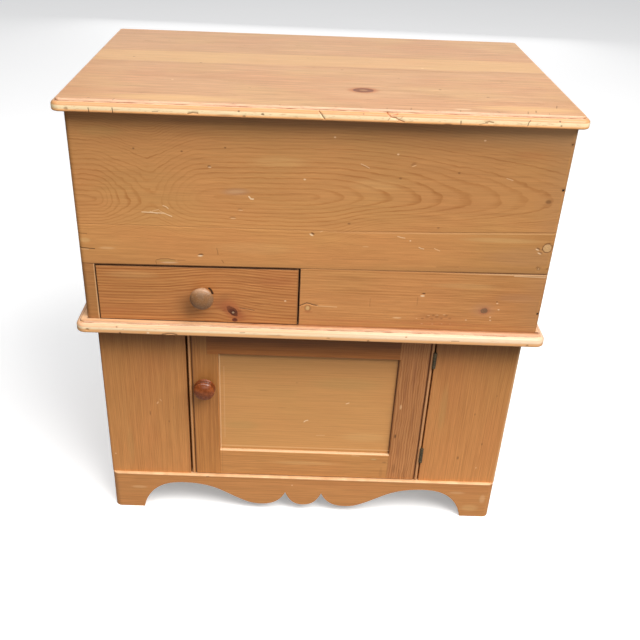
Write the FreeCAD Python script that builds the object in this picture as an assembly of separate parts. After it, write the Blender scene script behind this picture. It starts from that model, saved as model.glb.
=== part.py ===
import FreeCAD, Part
import math
import os
from FreeCAD import Vector as V

# Pine dry sink cabinet: a deep lift-lid well with one small drawer, standing on
# a moulded waist board over a one-door cupboard with a scalloped front plinth.
# Millimetres.  X to the right, Z up, Y from the front to the back.
# While building, y = 0 is the foremost edge of the lid; at the end everything
# moves by -Y_MID so that the origin is the centre of the footprint on the floor.

# ---------------------------------------------------------------- dimensions
LID_W = 794.0            # lid width
LID_D = 505.0            # lid depth, its back edge is flush with the back
HEIGHT = 810.0           # floor to the top of the lid
LID_T = 18.0
LID_CORNER = 14.0        # plan radius of the lid's front corners
LID_BACK_CORNER = 16.0   # plan radius of the lid's back corners

BOX_W = 768.0            # the well's box
BOX_DX = 2.0             # it stands this far right of the cupboard's middle
BOX_Y = 16.6             # its front face, behind the lid's front edge
FRONT_T = 22.0           # front boards
BOX_SIDE_T = 22.0
BOX_BACK_T = 20.0
BOX_EDGE_R = 8.0         # rounding of the front upright corners
JOINT_ARRIS = 0.6        # softened edges where two front boards meet

WAIST_W = 800.0          # moulded board between the base and the box
WAIST_Y = 1.0
WAIST_Z0 = 414.0
WAIST_T = 20.0
WAIST_CORNER = 16.0

BASE_W = 740.0           # cupboard base
BASE_Y = 30.8            # its front face
STILE_W_LEFT = 151.5     # fixed stiles each side of the door
STILE_W_RIGHT = 147.7
STILE_T = 22.0
SIDE_T = 20.0
BACK_T = 12.0

PLINTH_H = 84.0
PLINTH_T = 22.0
PLINTH_PROUD = 5.8
PLINTH_CORNER = 12.0
BOTTOM_T = 18.0

JOINT_LOW = 542.5        # joint between the lower and the middle front boards
JOINT_HIGH = 614.5       # joint between the middle and the upper front boards

DRAWER_X0, DRAWER_X1 = -360.0, -25.5
DRAWER_Z0, DRAWER_Z1 = 434.6, 540.4
DRAWER_SIDE_T = 12.0
DRAWER_LAP = 12.0        # how far the sides' tails run into the front
DRAWER_LEN = 455.0       # y where the drawer sides end
DRAWER_SIDE_H = 98.0

DOOR_X0, DOOR_X1 = -215.5, 220.3
DOOR_Z0, DOOR_Z1 = 86.0, 412.0
DOOR_T = 22.0
DOOR_STILE_L = 54.7
DOOR_STILE_R = 59.8
DOOR_RAIL_TOP = 52.5
DOOR_RAIL_BOTTOM = 57.5
PANEL_RECESS = 6.5
PANEL_T = 8.0
GROOVE = 7.5
BEAD_R = 3.2             # bead along both upright edges of the door
BEAD_QUIRK = 1.6
PANEL_ARRIS = 2.6        # rounded front edges round the panel
TOP_SHOULDER_X = -181.0  # the top rail laps the left stile up to here

KNOB_DOOR = (-185.7, 292.8)      # x, z of the door knob's axis
KNOB_DRAWER = (-184.9, 488.6)   # before the box's shift
SPINDLE_R = 6.0
SPINDLE_CLEAR = 0.06

PIN_R = 1.3
KNUCKLE_R = 3.2
PIN_CLEAR = 0.06

Y_BACK = LID_D
Y_MID = 251.1            # half way between the drawer knob and the lid hinges

LID_Z = HEIGHT - LID_T
WAIST_Z1 = WAIST_Z0 + WAIST_T
X_BOX = BOX_W / 2.0
X_BASE = BASE_W / 2.0
BOX_IN_Y0 = BOX_Y + FRONT_T
BOX_IN_Y1 = Y_BACK - BOX_BACK_T
BASE_IN_Y0 = BASE_Y + STILE_T
PLINTH_Y0 = BASE_Y - PLINTH_PROUD
PLINTH_Y1 = PLINTH_Y0 + PLINTH_T
BACK_Y = Y_BACK - BACK_T

parts = {}


# ------------------------------------------------------------------- helpers
def box(x0, x1, y0, y1, z0, z1):
    return Part.makeBox(x1 - x0, y1 - y0, z1 - z0, V(x0, y0, z0))


def prism(points, direction):
    wire = Part.makePolygon(list(points) + [points[0]])
    return Part.Face(wire).extrude(direction)


def edges_at(shape, **where):
    """Straight edges that lie wholly at the given coordinates."""
    found = []
    for e in shape.Edges:
        if len(e.Vertexes) != 2:
            continue
        ok = True
        for v in e.Vertexes:
            for k, val in where.items():
                if abs(getattr(v.Point, k) - val) > 1e-3:
                    ok = False
        if ok:
            found.append(e)
    return found


def soften(shape, radius, *places):
    edges = []
    for place in places:
        edges += edges_at(shape, **place)
    if not edges:
        raise RuntimeError("no edge to round at %s" % (places,))
    return shape.makeFillet(radius, edges)


def wire_of(segments):
    """Segments of plane points: two points make a line, three an arc (start,
    middle, end), more an interpolated curve."""
    edges = []
    for seg in segments:
        if len(seg) == 2:
            edges.append(Part.LineSegment(seg[0], seg[1]).toShape())
        elif len(seg) == 3:
            edges.append(Part.Arc(seg[0], seg[1], seg[2]).toShape())
        else:
            curve = Part.BSplineCurve()
            curve.interpolate(list(seg))
            edges.append(curve.toShape())
    return Part.Wire(edges)


def fuse(shapes):
    out = shapes[0]
    for s in shapes[1:]:
        out = out.fuse(s)
    return out.removeSplitter()


def group(shapes):
    return Part.makeCompound(shapes)


# ------------------------------------------------------- moulded edge boards
def edge_tools(t, x0, x1, y0, y1, z0, corner):
    """Cutters for a stepped thumbnail moulding on the left, front and right
    edges of a board: a small rounded arris, a sunk step, an ovolo, and a
    rounded under edge."""
    step = 4.0
    k = math.sqrt(0.5)
    ro, ru, ra = 6.0, 3.5, 1.5

    def profiles(pt):
        top = wire_of([
            (pt(-3, t + 3), pt(7 + ra, t + 3)),
            (pt(7 + ra, t + 3), pt(7 + ra, t)),
            (pt(7 + ra, t), pt(7 + ra - ra * k, t - ra + ra * k), pt(7, t - ra)),
            (pt(7, t - ra), pt(7, t - step)),
            (pt(7, t - step), pt(ro, t - step)),
            (pt(ro, t - step), pt(ro - ro * k, t - step - ro + ro * k), pt(0, t - step - ro)),
            (pt(0, t - step - ro), pt(-3, t - step - ro)),
            (pt(-3, t - step - ro), pt(-3, t + 3)),
        ])
        under = wire_of([
            (pt(-3, ru), pt(0, ru)),
            (pt(0, ru), pt(ru - ru * k, ru - ru * k), pt(ru, 0)),
            (pt(ru, 0), pt(ru, -3)),
            (pt(ru, -3), pt(-3, -3)),
            (pt(-3, -3), pt(-3, ru)),
        ])
        return [Part.Face(top), Part.Face(under)]

    cutters = []
    yc = y0 + corner
    left = profiles(lambda u, w: V(x0 + u, yc, z0 + w))
    front = profiles(lambda u, w: V(x0 + corner, y0 + u, z0 + w))
    right = profiles(lambda u, w: V(x1 - u, yc, z0 + w))
    for f in left:
        cutters.append(f.extrude(V(0, y1 - yc + 5, 0)))
        cutters.append(f.revolve(V(x0 + corner, yc, 0), V(0, 0, 1), 90))
    for f in front:
        cutters.append(f.extrude(V(x1 - x0 - 2 * corner, 0, 0)))
    for f in right:
        cutters.append(f.extrude(V(0, y1 - yc + 5, 0)))
        cutters.append(f.revolve(V(x1 - corner, yc, 0), V(0, 0, 1), -90))
    return cutters


def moulded_board(width, y0, y1, z0, t, corner, back_corner):
    x0, x1 = -width / 2.0, width / 2.0
    b = box(x0, x1, y0, y1, z0, z0 + t)
    b = b.makeFillet(corner, edges_at(b, x=x0, y=y0) + edges_at(b, x=x1, y=y0))
    if back_corner:
        b = b.makeFillet(back_corner, edges_at(b, x=x0, y=y1) + edges_at(b, x=x1, y=y1))
    for c in edge_tools(t, x0, x1, y0, y1, z0, corner):
        b = b.cut(c)
    return b.removeSplitter()


# ------------------------------------------------------------------ hardware
def place_local(shape, origin, ex, ey, ez):
    m = FreeCAD.Matrix(ex.x, ey.x, ez.x, origin.x,
                       ex.y, ey.y, ez.y, origin.y,
                       ex.z, ey.z, ez.z, origin.z,
                       0, 0, 0, 1)
    moved = shape.copy()
    moved.Placement = FreeCAD.Placement(m)
    return moved


def butt_hinge(length, plate_w, plate_t, gap, screws):
    """Butt hinge in its own frame: pin along z through the origin, leaves
    reaching out along +y.  The fixed leaf is on the +x side.  Returns fixed
    leaf, moving leaf, pin, fixed screws, moving screws and their plain
    (unslotted) forms for cutting the timber."""
    n = 5
    seg = length / n
    reach = KNUCKLE_R + 0.35
    out = []
    for which in ("fixed", "moving"):
        s = 1.0 if which == "fixed" else -1.0
        xa, xb = sorted((s * gap / 2.0, s * (gap / 2.0 + plate_t)))
        plate = box(xa, xb, reach, plate_w, 0, length)
        solids = [plate]
        for i in range(n):
            mine = (i % 2 == 0) == (which == "fixed")
            if not mine:
                continue
            za = i * seg + (0.1 if i > 0 else 0.0)
            zb = (i + 1) * seg - (0.1 if i < n - 1 else 0.0)
            solids.append(Part.makeCylinder(KNUCKLE_R, zb - za, V(0, 0, za)))
            solids.append(box(xa, xb, 0, reach + 0.5, za, zb))
        leaf = fuse(solids)
        bore = PIN_R if which == "fixed" else PIN_R + PIN_CLEAR
        leaf = leaf.cut(Part.makeCylinder(bore, length + 2, V(0, 0, -1)))
        plain, slotted = [], []
        for (zy, zz) in screws:
            head = Part.makeCone(2.7, 1.3, 1.4, V(s * gap / 2.0, zy, zz), V(s, 0, 0))
            shank = Part.makeCylinder(1.3, 11.0, V(s * (gap / 2.0 + 1.4), zy, zz), V(s, 0, 0))
            screw = head.fuse(shank).removeSplitter()
            plain.append(screw)
            xs = sorted((s * (gap / 2.0 - 0.5), s * (gap / 2.0 + 0.6)))
            slotted.append(screw.cut(box(xs[0], xs[1], zy - 0.35, zy + 0.35, zz - 4, zz + 4)))
        for p in plain:
            leaf = leaf.cut(p)
        out.append((leaf, plain, slotted))
    pin = Part.makeCylinder(PIN_R, length, V(0, 0, 0))
    return {"fixed": out[0][0], "moving": out[1][0], "pin": pin,
            "fixed_plain": out[0][1], "moving_plain": out[1][1],
            "fixed_screws": out[0][2], "moving_screws": out[1][2]}


def cut_nail(point, direction, length, head=(4.4, 3.2), shank=(3.0, 2.0)):
    """Cut nail driven flush: a rectangular head and shank.  direction is +y or
    -y, the way it is driven."""
    x, y, z = point
    s = 1.0 if direction > 0 else -1.0
    ya, yb = sorted((y, y + s * 1.2))
    yc, yd = sorted((y + s * 1.2, y + s * length))
    h = box(x - head[0] / 2, x + head[0] / 2, ya, yb, z - head[1] / 2, z + head[1] / 2)
    k = box(x - shank[0] / 2, x + shank[0] / 2, yc, yd, z - shank[1] / 2, z + shank[1] / 2)
    return h.fuse(k).removeSplitter()


def lathe(profile, x, y_face, z):
    """Turn a profile of (radius, height above the face) segments about an axis
    through (x, z) that runs forward, towards -y, from y_face."""
    segs = []
    for seg in profile:
        segs.append(tuple(V(x + r, y_face - d, z) for r, d in seg))
    wire = wire_of(segs)
    return Part.Face(wire).revolve(V(x, y_face, z), V(0, 1, 0), 360)


# ------------------------------------------------------------- cupboard base
# sides, cut away between the front and the back feet
def base_side(sign):
    xo, xi = sign * X_BASE, sign * (X_BASE - SIDE_T)
    xa, xb = min(xo, xi), max(xo, xi)
    b = box(xa, xb, BASE_IN_Y0, Y_BACK, 0, WAIST_Z0)
    b = b.fuse(box(xa, xb, PLINTH_Y1, BASE_IN_Y0, 0, PLINTH_H)).removeSplitter()
    # arched cut-out
    ya, yb, top, r = PLINTH_Y1 + 62.0, Y_BACK - 66.0, 56.0, 38.0
    k = r * (1 - math.sqrt(0.5))
    arch = Part.Face(wire_of([
        (V(xa - 1, ya, -1), V(xa - 1, ya, top - r)),
        (V(xa - 1, ya, top - r), V(xa - 1, ya + k, top - k), V(xa - 1, ya + r, top)),
        (V(xa - 1, ya + r, top), V(xa - 1, yb - r, top)),
        (V(xa - 1, yb - r, top), V(xa - 1, yb - k, top - k), V(xa - 1, yb, top - r)),
        (V(xa - 1, yb, top - r), V(xa - 1, yb, -1)),
        (V(xa - 1, yb, -1), V(xa - 1, ya, -1)),
    ])).extrude(V(SIDE_T + 2, 0, 0))
    b = b.cut(arch)
    # rebate for the back boards, groove for the bottom board
    rx = sorted((xi, xi + sign * 10.0))
    b = b.cut(box(rx[0], rx[1], BACK_Y, Y_BACK, PLINTH_H - BOTTOM_T, WAIST_Z0))
    gx = sorted((xi, xi + sign * 6.0))
    b = b.cut(box(gx[0], gx[1], PLINTH_Y1, BACK_Y, PLINTH_H - BOTTOM_T, PLINTH_H))
    b = b.removeSplitter()
    return soften(b, 1.2, dict(x=xo, y=Y_BACK))


base_side_left = base_side(-1)
base_side_right = base_side(1)

base_bottom = box(-X_BASE + SIDE_T - 6, X_BASE - SIDE_T + 6, PLINTH_Y1, BACK_Y,
                  PLINTH_H - BOTTOM_T, PLINTH_H)

stile_in_left = -X_BASE + STILE_W_LEFT
stile_in_right = X_BASE - STILE_W_RIGHT


def base_stile(sign):
    inner = stile_in_left if sign < 0 else stile_in_right
    xa, xb = sorted((sign * X_BASE, inner))
    b = box(xa, xb, BASE_Y, BASE_IN_Y0, PLINTH_H, WAIST_Z0)
    b = soften(b, 3.0, dict(x=sign * X_BASE, y=BASE_Y))
    return soften(b, 0.9, dict(x=inner, y=BASE_Y))


base_stile_left = base_stile(-1)
base_stile_right = base_stile(1)

# scalloped plinth: half outline from the centre lobe out to the foot
half = [
    [(0, 17.0), (9, 18.0), (18, 22.0), (26.5, 30.5), (32, 40.0), (35.2, 47.5)],
    [(35.2, 47.5), (38.5, 40.5), (45, 31.0), (55, 22.5), (68, 17.4), (83, 16.0),
     (99, 17.6), (116, 24.0), (137, 35.0), (163, 49.8), (191, 60.2), (219, 64.4),
     (244, 64.4), (264, 60.8), (280, 53.2), (293, 42.0), (303, 27.5), (309.5, 12.5),
     (312.5, 0)],
]
yb_ = PLINTH_Y0 - 1


def P(x, z):
    return V(x, yb_, z)


segs = []
segs.append((P(-X_BASE - 1, 0), P(-X_BASE - 1, PLINTH_H)))
segs.append((P(-X_BASE - 1, PLINTH_H), P(X_BASE + 1, PLINTH_H)))
segs.append((P(X_BASE + 1, PLINTH_H), P(X_BASE + 1, 0)))
segs.append((P(X_BASE + 1, 0), P(312.5, 0)))
segs.append(tuple(P(x, z) for x, z in reversed(half[1])))
lobe = [(-x, z) for x, z in reversed(half[0])][:-1] + list(half[0])
segs.append(tuple(P(x, z) for x, z in reversed(lobe)))
segs.append(tuple(P(-x, z) for x, z in half[1]))
segs.append((P(-312.5, 0), P(-X_BASE - 1, 0)))
plinth = Part.Face(wire_of(segs)).extrude(V(0, PLINTH_T + 2, 0))
plan = box(-X_BASE, X_BASE, PLINTH_Y0, PLINTH_Y1, -1, PLINTH_H + 1)
plan = plan.makeFillet(PLINTH_CORNER, edges_at(plan, x=-X_BASE, y=PLINTH_Y0)
                       + edges_at(plan, x=X_BASE, y=PLINTH_Y0))
arris = 1.8
ka = arris * (1 - math.sqrt(0.5))
sect = Part.Face(wire_of([
    (V(-X_BASE - 2, PLINTH_Y0, -1), V(-X_BASE - 2, PLINTH_Y0, PLINTH_H - arris)),
    (V(-X_BASE - 2, PLINTH_Y0, PLINTH_H - arris), V(-X_BASE - 2, PLINTH_Y0 + ka, PLINTH_H - ka),
     V(-X_BASE - 2, PLINTH_Y0 + arris, PLINTH_H)),
    (V(-X_BASE - 2, PLINTH_Y0 + arris, PLINTH_H), V(-X_BASE - 2, PLINTH_Y1, PLINTH_H)),
    (V(-X_BASE - 2, PLINTH_Y1, PLINTH_H), V(-X_BASE - 2, PLINTH_Y1, -1)),
    (V(-X_BASE - 2, PLINTH_Y1, -1), V(-X_BASE - 2, PLINTH_Y0, -1)),
])).extrude(V(BASE_W + 4, 0, 0))
plinth_front = plinth.common(plan).common(sect).removeSplitter()

# three-cornered glue blocks behind the front feet
blocks = []
for s in (-1, 1):
    xi = s * (X_BASE - SIDE_T)
    blocks.append(prism([V(xi, PLINTH_Y1, 4), V(xi - s * 34, PLINTH_Y1, 4), V(xi, PLINTH_Y1 + 34, 4)],
                        V(0, 0, PLINTH_H - BOTTOM_T - 4)))
foot_glue_blocks = group(blocks)

# back of the cupboard: three upright boards nailed to a rail and the bottom
rail_x = X_BASE - SIDE_T
base_back_rail = box(-rail_x, rail_x, BACK_Y - 20, BACK_Y, WAIST_Z0 - 44, WAIST_Z0)
backs = []
for xa, xb in ((-360.0, -120.4), (-119.6, 119.6), (120.4, 360.0)):
    b = box(xa, xb, BACK_Y, Y_BACK, PLINTH_H - BOTTOM_T, WAIST_Z0)
    backs.append(soften(b, 0.8, dict(x=xa, y=Y_BACK), dict(x=xb, y=Y_BACK)))
nails = []
for x in (-330.0, -150.0, -90.0, 90.0, 150.0, 330.0):
    nails.append(cut_nail((x, Y_BACK, PLINTH_H - 9.0), -1, 40))
    nails.append(cut_nail((x, Y_BACK, WAIST_Z0 - 22.0), -1, 30))
base_back_nails = nails
for n in nails:
    backs = [b.cut(n) for b in backs]
    base_bottom = base_bottom.cut(n)
    base_back_rail = base_back_rail.cut(n)

# strip under the waist board that the door's top rail closes against
door_stop = box(stile_in_left + 4, stile_in_right - 4, BASE_IN_Y0 + 0.3, BASE_IN_Y0 + 16, WAIST_Z0 - 16, WAIST_Z0)
door_stop = soften(door_stop, 1.0, dict(y=BASE_IN_Y0 + 16, z=WAIST_Z0 - 16))

# -------------------------------------------------------------- waist board
waist_board = moulded_board(WAIST_W, WAIST_Y, Y_BACK, WAIST_Z0, WAIST_T, WAIST_CORNER, 0)

# ------------------------------------------------------------------ the box
def box_side(sign):
    xa, xb = sorted((sign * X_BOX, sign * (X_BOX - BOX_SIDE_T)))
    return box(xa, xb, BOX_IN_Y0, BOX_IN_Y1, WAIST_Z1, LID_Z)


box_side_left = box_side(-1)
box_side_right = box_side(1)


def front_board(xa, xb, z0, z1):
    b = box(xa, xb, BOX_Y, BOX_IN_Y0, z0, z1)
    at, joints = [], []
    for x in (xa, xb):
        (at if abs(abs(x) - X_BOX) < 1e-6 else joints).append(dict(x=x, y=BOX_Y))
    b = soften(b, BOX_EDGE_R, *at)
    for z in (z0, z1):
        if WAIST_Z1 < z < LID_Z:
            joints.append(dict(y=BOX_Y, z=z))
    return soften(b, JOINT_ARRIS, *joints)


front_upper = front_board(-X_BOX, X_BOX, JOINT_HIGH, LID_Z)
front_middle = front_board(-X_BOX, X_BOX, JOINT_LOW, JOINT_HIGH)
front_lower = front_board(-24.0, X_BOX, WAIST_Z1, JOINT_LOW)
front_strip = front_board(-X_BOX, -361.0, WAIST_Z1, JOINT_LOW)

back_upper = box(-X_BOX, X_BOX, BOX_IN_Y1, Y_BACK, 618.0, LID_Z)
back_lower = box(-X_BOX, X_BOX, BOX_IN_Y1, Y_BACK, WAIST_Z1, 617.2)
back_upper = soften(back_upper, 1.5, dict(x=-X_BOX, y=Y_BACK), dict(x=X_BOX, y=Y_BACK))
back_lower = soften(back_lower, 1.5, dict(x=-X_BOX, y=Y_BACK), dict(x=X_BOX, y=Y_BACK))

# partition beside the drawer and the well's shelf over it
partition = box(-24.0, -4.0, BOX_IN_Y0, BOX_IN_Y1, WAIST_Z1, JOINT_LOW + 2)
well_shelf = box(-X_BOX + BOX_SIDE_T - 6, -4.0, BOX_IN_Y0, BOX_IN_Y1, JOINT_LOW + 2, JOINT_LOW + 20)
box_side_left = box_side_left.cut(box(-X_BOX + BOX_SIDE_T - 6, -X_BOX + BOX_SIDE_T, BOX_IN_Y0, BOX_IN_Y1,
                                      JOINT_LOW + 2, JOINT_LOW + 20))
well_shelf = soften(well_shelf, 1.0, dict(x=-4.0, z=JOINT_LOW + 20))
drawer_stop = box(-216.0, -172.0, DRAWER_LEN + 3.6, DRAWER_LEN + 22, WAIST_Z1, WAIST_Z1 + 18)
drawer_stop = soften(drawer_stop, 1.0, dict(x=-216.0, z=WAIST_Z1 + 18), dict(x=-172.0, z=WAIST_Z1 + 18))

# nails through the front into the sides' end grain, their heads filed to the
# rounded corner, and a round wooden plug
nails = []
for s, places in ((-1, ((378.5, 768.0), (378.5, 690.0), (378.5, 640.0), (378.5, 578.0),
                        (378.5, 508.0), (378.5, 459.0))),
                  (1, ((378.2, 764.5), (378.6, 691.8), (364.6, 555.5), (379.3, 471.5)))):
    corner = box(*sorted((s * (X_BOX - BOX_SIDE_T), s * X_BOX)), BOX_Y, BOX_IN_Y0 + 40, WAIST_Z1, LID_Z)
    corner = soften(corner, BOX_EDGE_R, dict(x=s * X_BOX, y=BOX_Y))
    for x, z in places:
        nails.append(cut_nail((s * x, BOX_Y, z), 1, 48).common(corner))
front_nails = nails
for n in nails:
    front_upper = front_upper.cut(n)
    front_middle = front_middle.cut(n)
    front_lower = front_lower.cut(n)
    front_strip = front_strip.cut(n)
    box_side_left = box_side_left.cut(n)
    box_side_right = box_side_right.cut(n)
plug = Part.makeCylinder(7.8, 9.0, V(372.2, BOX_Y, 593.2), V(0, 1, 0))
front_plug = plug.common(front_middle)
front_middle = front_middle.cut(plug)

nails = []
for x in (-373.0, 373.0):
    for z in (462.0, 588.0, 646.0, 760.0):
        nails.append(cut_nail((x, Y_BACK, z), -1, 46))
box_back_nails = nails
for n in nails:
    back_upper = back_upper.cut(n)
    back_lower = back_lower.cut(n)
    box_side_left = box_side_left.cut(n)
    box_side_right = box_side_right.cut(n)

# the whole box stands a little to the right of the cupboard's middle
def to_right(s):
    moved = s.copy()
    moved.translate(V(BOX_DX, 0, 0))
    return moved


box_side_left, box_side_right = to_right(box_side_left), to_right(box_side_right)
front_upper, front_middle = to_right(front_upper), to_right(front_middle)
front_lower, front_strip = to_right(front_lower), to_right(front_strip)
front_plug, front_nails = to_right(front_plug), [to_right(n) for n in front_nails]
back_upper, back_lower = to_right(back_upper), to_right(back_lower)
box_back_nails = [to_right(n) for n in box_back_nails]
partition, well_shelf, drawer_stop = to_right(partition), to_right(well_shelf), to_right(drawer_stop)

# ------------------------------------------------------------------- the lid
lid_board = moulded_board(LID_W, 0.0, LID_D, LID_Z, LID_T, LID_CORNER, LID_BACK_CORNER)
battens, batten_screws = [], []
for xc in (-262.0, 262.0):
    b = box(xc - 24, xc + 24, 56.0, 448.0, LID_Z - 18, LID_Z)
    b = soften(b, 3.0, dict(x=xc - 24, z=LID_Z - 18), dict(x=xc + 24, z=LID_Z - 18),
               dict(y=56.0, z=LID_Z - 18), dict(y=448.0, z=LID_Z - 18))
    for y in (90.0, 252.0, 414.0):
        head = Part.makeCone(3.8, 2.0, 2.4, V(xc, y, LID_Z - 18), V(0, 0, 1))
        shank = Part.makeCylinder(2.0, 26.0, V(xc, y, LID_Z - 15.6), V(0, 0, 1))
        screw = head.fuse(shank).removeSplitter()
        b = b.cut(screw)
        lid_board = lid_board.cut(screw)
        batten_screws.append(screw.cut(box(xc - 0.5, xc + 0.5, y - 5, y + 5, LID_Z - 19, LID_Z - 17)))
    battens.append(b)

# lid hinges: pins just behind the back faces, level with the lid's underside
LID_PIN_Y = Y_BACK + KNUCKLE_R + 0.2
lid_fixed, lid_moving, lid_pins, lid_fs, lid_ms = [], [], [], [], []
L = 50.0
for xc in (-262.0 + BOX_DX, 262.0 + BOX_DX):
    h = butt_hinge(L, 27.0, 1.6, 0.0, [(17.0, 9.0), (21.0, 25.0), (17.0, 41.0)])
    o = V(xc + L / 2, LID_PIN_Y, LID_Z)
    args = (o, V(0, 0, -1), V(0, -1, 0), V(-1, 0, 0))
    for key in h:
        if isinstance(h[key], list):
            h[key] = [place_local(s, *args) for s in h[key]]
        else:
            h[key] = place_local(h[key], *args)
    lid_fixed.append(h["fixed"])
    lid_moving.append(h["moving"])
    lid_pins.append(h["pin"])
    lid_fs += h["fixed_screws"]
    lid_ms += h["moving_screws"]
    y_plate = LID_PIN_Y - 27.0
    back_upper = back_upper.cut(box(xc - L / 2, xc + L / 2, y_plate, Y_BACK + 1, LID_Z - 1.6, LID_Z + 1))
    lid_board = lid_board.cut(box(xc - L / 2, xc + L / 2, y_plate, Y_BACK + 1, LID_Z - 1, LID_Z + 1.6))
    for s in h["fixed_plain"]:
        back_upper = back_upper.cut(s)
    for s in h["moving_plain"]:
        lid_board = lid_board.cut(s)
        battens = [b.cut(s) for b in battens]

# ------------------------------------------------------------------ the door
ox0, ox1 = DOOR_X0 + DOOR_STILE_L, DOOR_X1 - DOOR_STILE_R
oz0, oz1 = DOOR_Z0 + DOOR_RAIL_BOTTOM, DOOR_Z1 - DOOR_RAIL_TOP
py0 = BASE_Y + PANEL_RECESS
py1 = py0 + PANEL_T
dy0, dy1 = BASE_Y, BASE_Y + DOOR_T


def bead_tools(edge_x, sign):
    """Cutters that leave a bead on the door's outer front edge; sign points
    from the edge into the door."""
    r, q = BEAD_R, BEAD_QUIRK
    c = edge_x + sign * r
    corner = box(*sorted((edge_x - sign * 1.0, c)), dy0 - 1, dy0 + r, DOOR_Z0 - 1, DOOR_Z1 + 1)
    inner = box(*sorted((c, c + sign * (r + q))), dy0 - 1, dy0 + r, DOOR_Z0 - 1, DOOR_Z1 + 1)
    rod = Part.makeCylinder(r, DOOR_Z1 - DOOR_Z0 + 4, V(c, dy0 + r, DOOR_Z0 - 2))
    cut = corner.fuse(inner).cut(rod)
    return cut


def door_stile(sign):
    if sign < 0:
        xa, xb, edge = DOOR_X0, ox0, DOOR_X0
        gx = (ox0 - GROOVE, ox0)
    else:
        xa, xb, edge = ox1, DOOR_X1, DOOR_X1
        gx = (ox1, ox1 + GROOVE)
    b = box(xa, xb, dy0, dy1, DOOR_Z0, DOOR_Z1)
    b = b.cut(bead_tools(edge, -sign if sign > 0 else 1))
    b = b.cut(box(gx[0], gx[1], py0, py1, oz0 - GROOVE, oz1 + GROOVE))
    return b


door_stile_left = door_stile(-1)
door_stile_right = door_stile(1)
# the left stile is notched for the top rail's long shoulder
door_stile_left = door_stile_left.cut(box(TOP_SHOULDER_X, ox0 + 1, dy0 - 1, dy1 + 1, oz1, DOOR_Z1 + 1))

ten = 30.0
rail_top = box(TOP_SHOULDER_X, ox1, dy0, dy1, oz1, DOOR_Z1)
rail_top = rail_top.cut(box(ox0 - GROOVE, ox1, py0, py1, oz1, oz1 + GROOVE))
rail_bottom = box(ox0, ox1, dy0, dy1, DOOR_Z0, oz0)
rail_bottom = rail_bottom.cut(box(ox0, ox1, py0, py1, oz0 - GROOVE, oz0))
t_tl = box(TOP_SHOULDER_X - 24, TOP_SHOULDER_X, py0, py1, oz1 + 9, DOOR_Z1 - 8)
t_tr = box(ox1, ox1 + ten, py0, py1, oz1 + 9, DOOR_Z1 - 8)
t_bl = box(ox0 - ten, ox0, py0, py1, DOOR_Z0 + 8, oz0 - 9)
t_br = box(ox1, ox1 + ten, py0, py1, DOOR_Z0 + 8, oz0 - 9)
door_rail_top = fuse([rail_top, t_tl, t_tr])
door_rail_bottom = fuse([rail_bottom, t_bl, t_br])
door_stile_left = door_stile_left.cut(t_tl).cut(t_bl)
door_stile_right = door_stile_right.cut(t_tr).cut(t_br)
door_panel = box(ox0 - GROOVE + 0.5, ox1 + GROOVE - 0.5, py0, py1, oz0 - GROOVE + 0.5, oz1 + GROOVE - 0.5)
# the grooves stop where the panel's corner would leave the notched stile
door_stile_left = door_stile_left.removeSplitter()
door_stile_right = door_stile_right.removeSplitter()

# rounded front edges round the panel opening
door_rail_bottom = soften(door_rail_bottom, 0.7, dict(y=dy0, z=DOOR_Z0))
r_ = PANEL_ARRIS
rounded = box(ox0 - 20, ox1 + 20, dy0, dy0 + 5, oz0 - 20, oz1 + 20).cut(box(ox0, ox1, dy0 - 1, dy0 + 6, oz0, oz1))
rounded = soften(rounded, r_, dict(x=ox0, y=dy0), dict(x=ox1, y=dy0), dict(y=dy0, z=oz0), dict(y=dy0, z=oz1))
ring = box(ox0 - r_ - 1, ox1 + r_ + 1, dy0 - 1, dy0 + r_ + 0.5, oz0 - r_ - 1, oz1 + r_ + 1)
ring = ring.cut(box(ox0 - r_ - 2, ox1 + r_ + 2, dy0 - 2, dy0, oz0 - r_ - 2, oz1 + r_ + 2)).cut(rounded)
door_stile_left, door_stile_right = door_stile_left.cut(ring), door_stile_right.cut(ring)
door_rail_top, door_rail_bottom = door_rail_top.cut(ring), door_rail_bottom.cut(ring)

# hinges: pin in line with the gap and just proud of the front
DOOR_PIN = (DOOR_X1 + 1.0, BASE_Y - 1.4)
door_fixed, door_moving, door_pins, door_fs, door_ms = [], [], [], [], []
HL = 32.0
for zc in (363.0, 147.0):
    z0 = zc - HL / 2
    h = butt_hinge(HL, 18.0, 1.5, 2.0, [(10.5, 7.0), (10.5, 25.0)])
    o = V(DOOR_PIN[0], DOOR_PIN[1], z0)
    args = (o, V(1, 0, 0), V(0, 1, 0), V(0, 0, 1))
    for key in h:
        if isinstance(h[key], list):
            h[key] = [place_local(s, *args) for s in h[key]]
        else:
            h[key] = place_local(h[key], *args)
    door_fixed.append(h["fixed"])
    door_moving.append(h["moving"])
    door_pins.append(h["pin"])
    door_fs += h["fixed_screws"]
    door_ms += h["moving_screws"]
    clear = Part.makeCylinder(KNUCKLE_R + 0.35, HL + 1.0, V(DOOR_PIN[0], DOOR_PIN[1], z0 - 0.5))
    yp = DOOR_PIN[1] + 18.0
    base_stile_right = base_stile_right.cut(clear)
    door_stile_right = door_stile_right.cut(clear)
    base_stile_right = base_stile_right.cut(box(stile_in_right - 1, stile_in_right + 1.5, BASE_Y - 1, yp, z0,
                                                    z0 + HL))
    door_stile_right = door_stile_right.cut(box(DOOR_X1 - 1.5, DOOR_X1 + 1, BASE_Y - 1, yp, z0, z0 + HL))
    for s in h["fixed_plain"]:
        base_stile_right = base_stile_right.cut(s)
    for s in h["moving_plain"]:
        door_stile_right = door_stile_right.cut(s)

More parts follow.
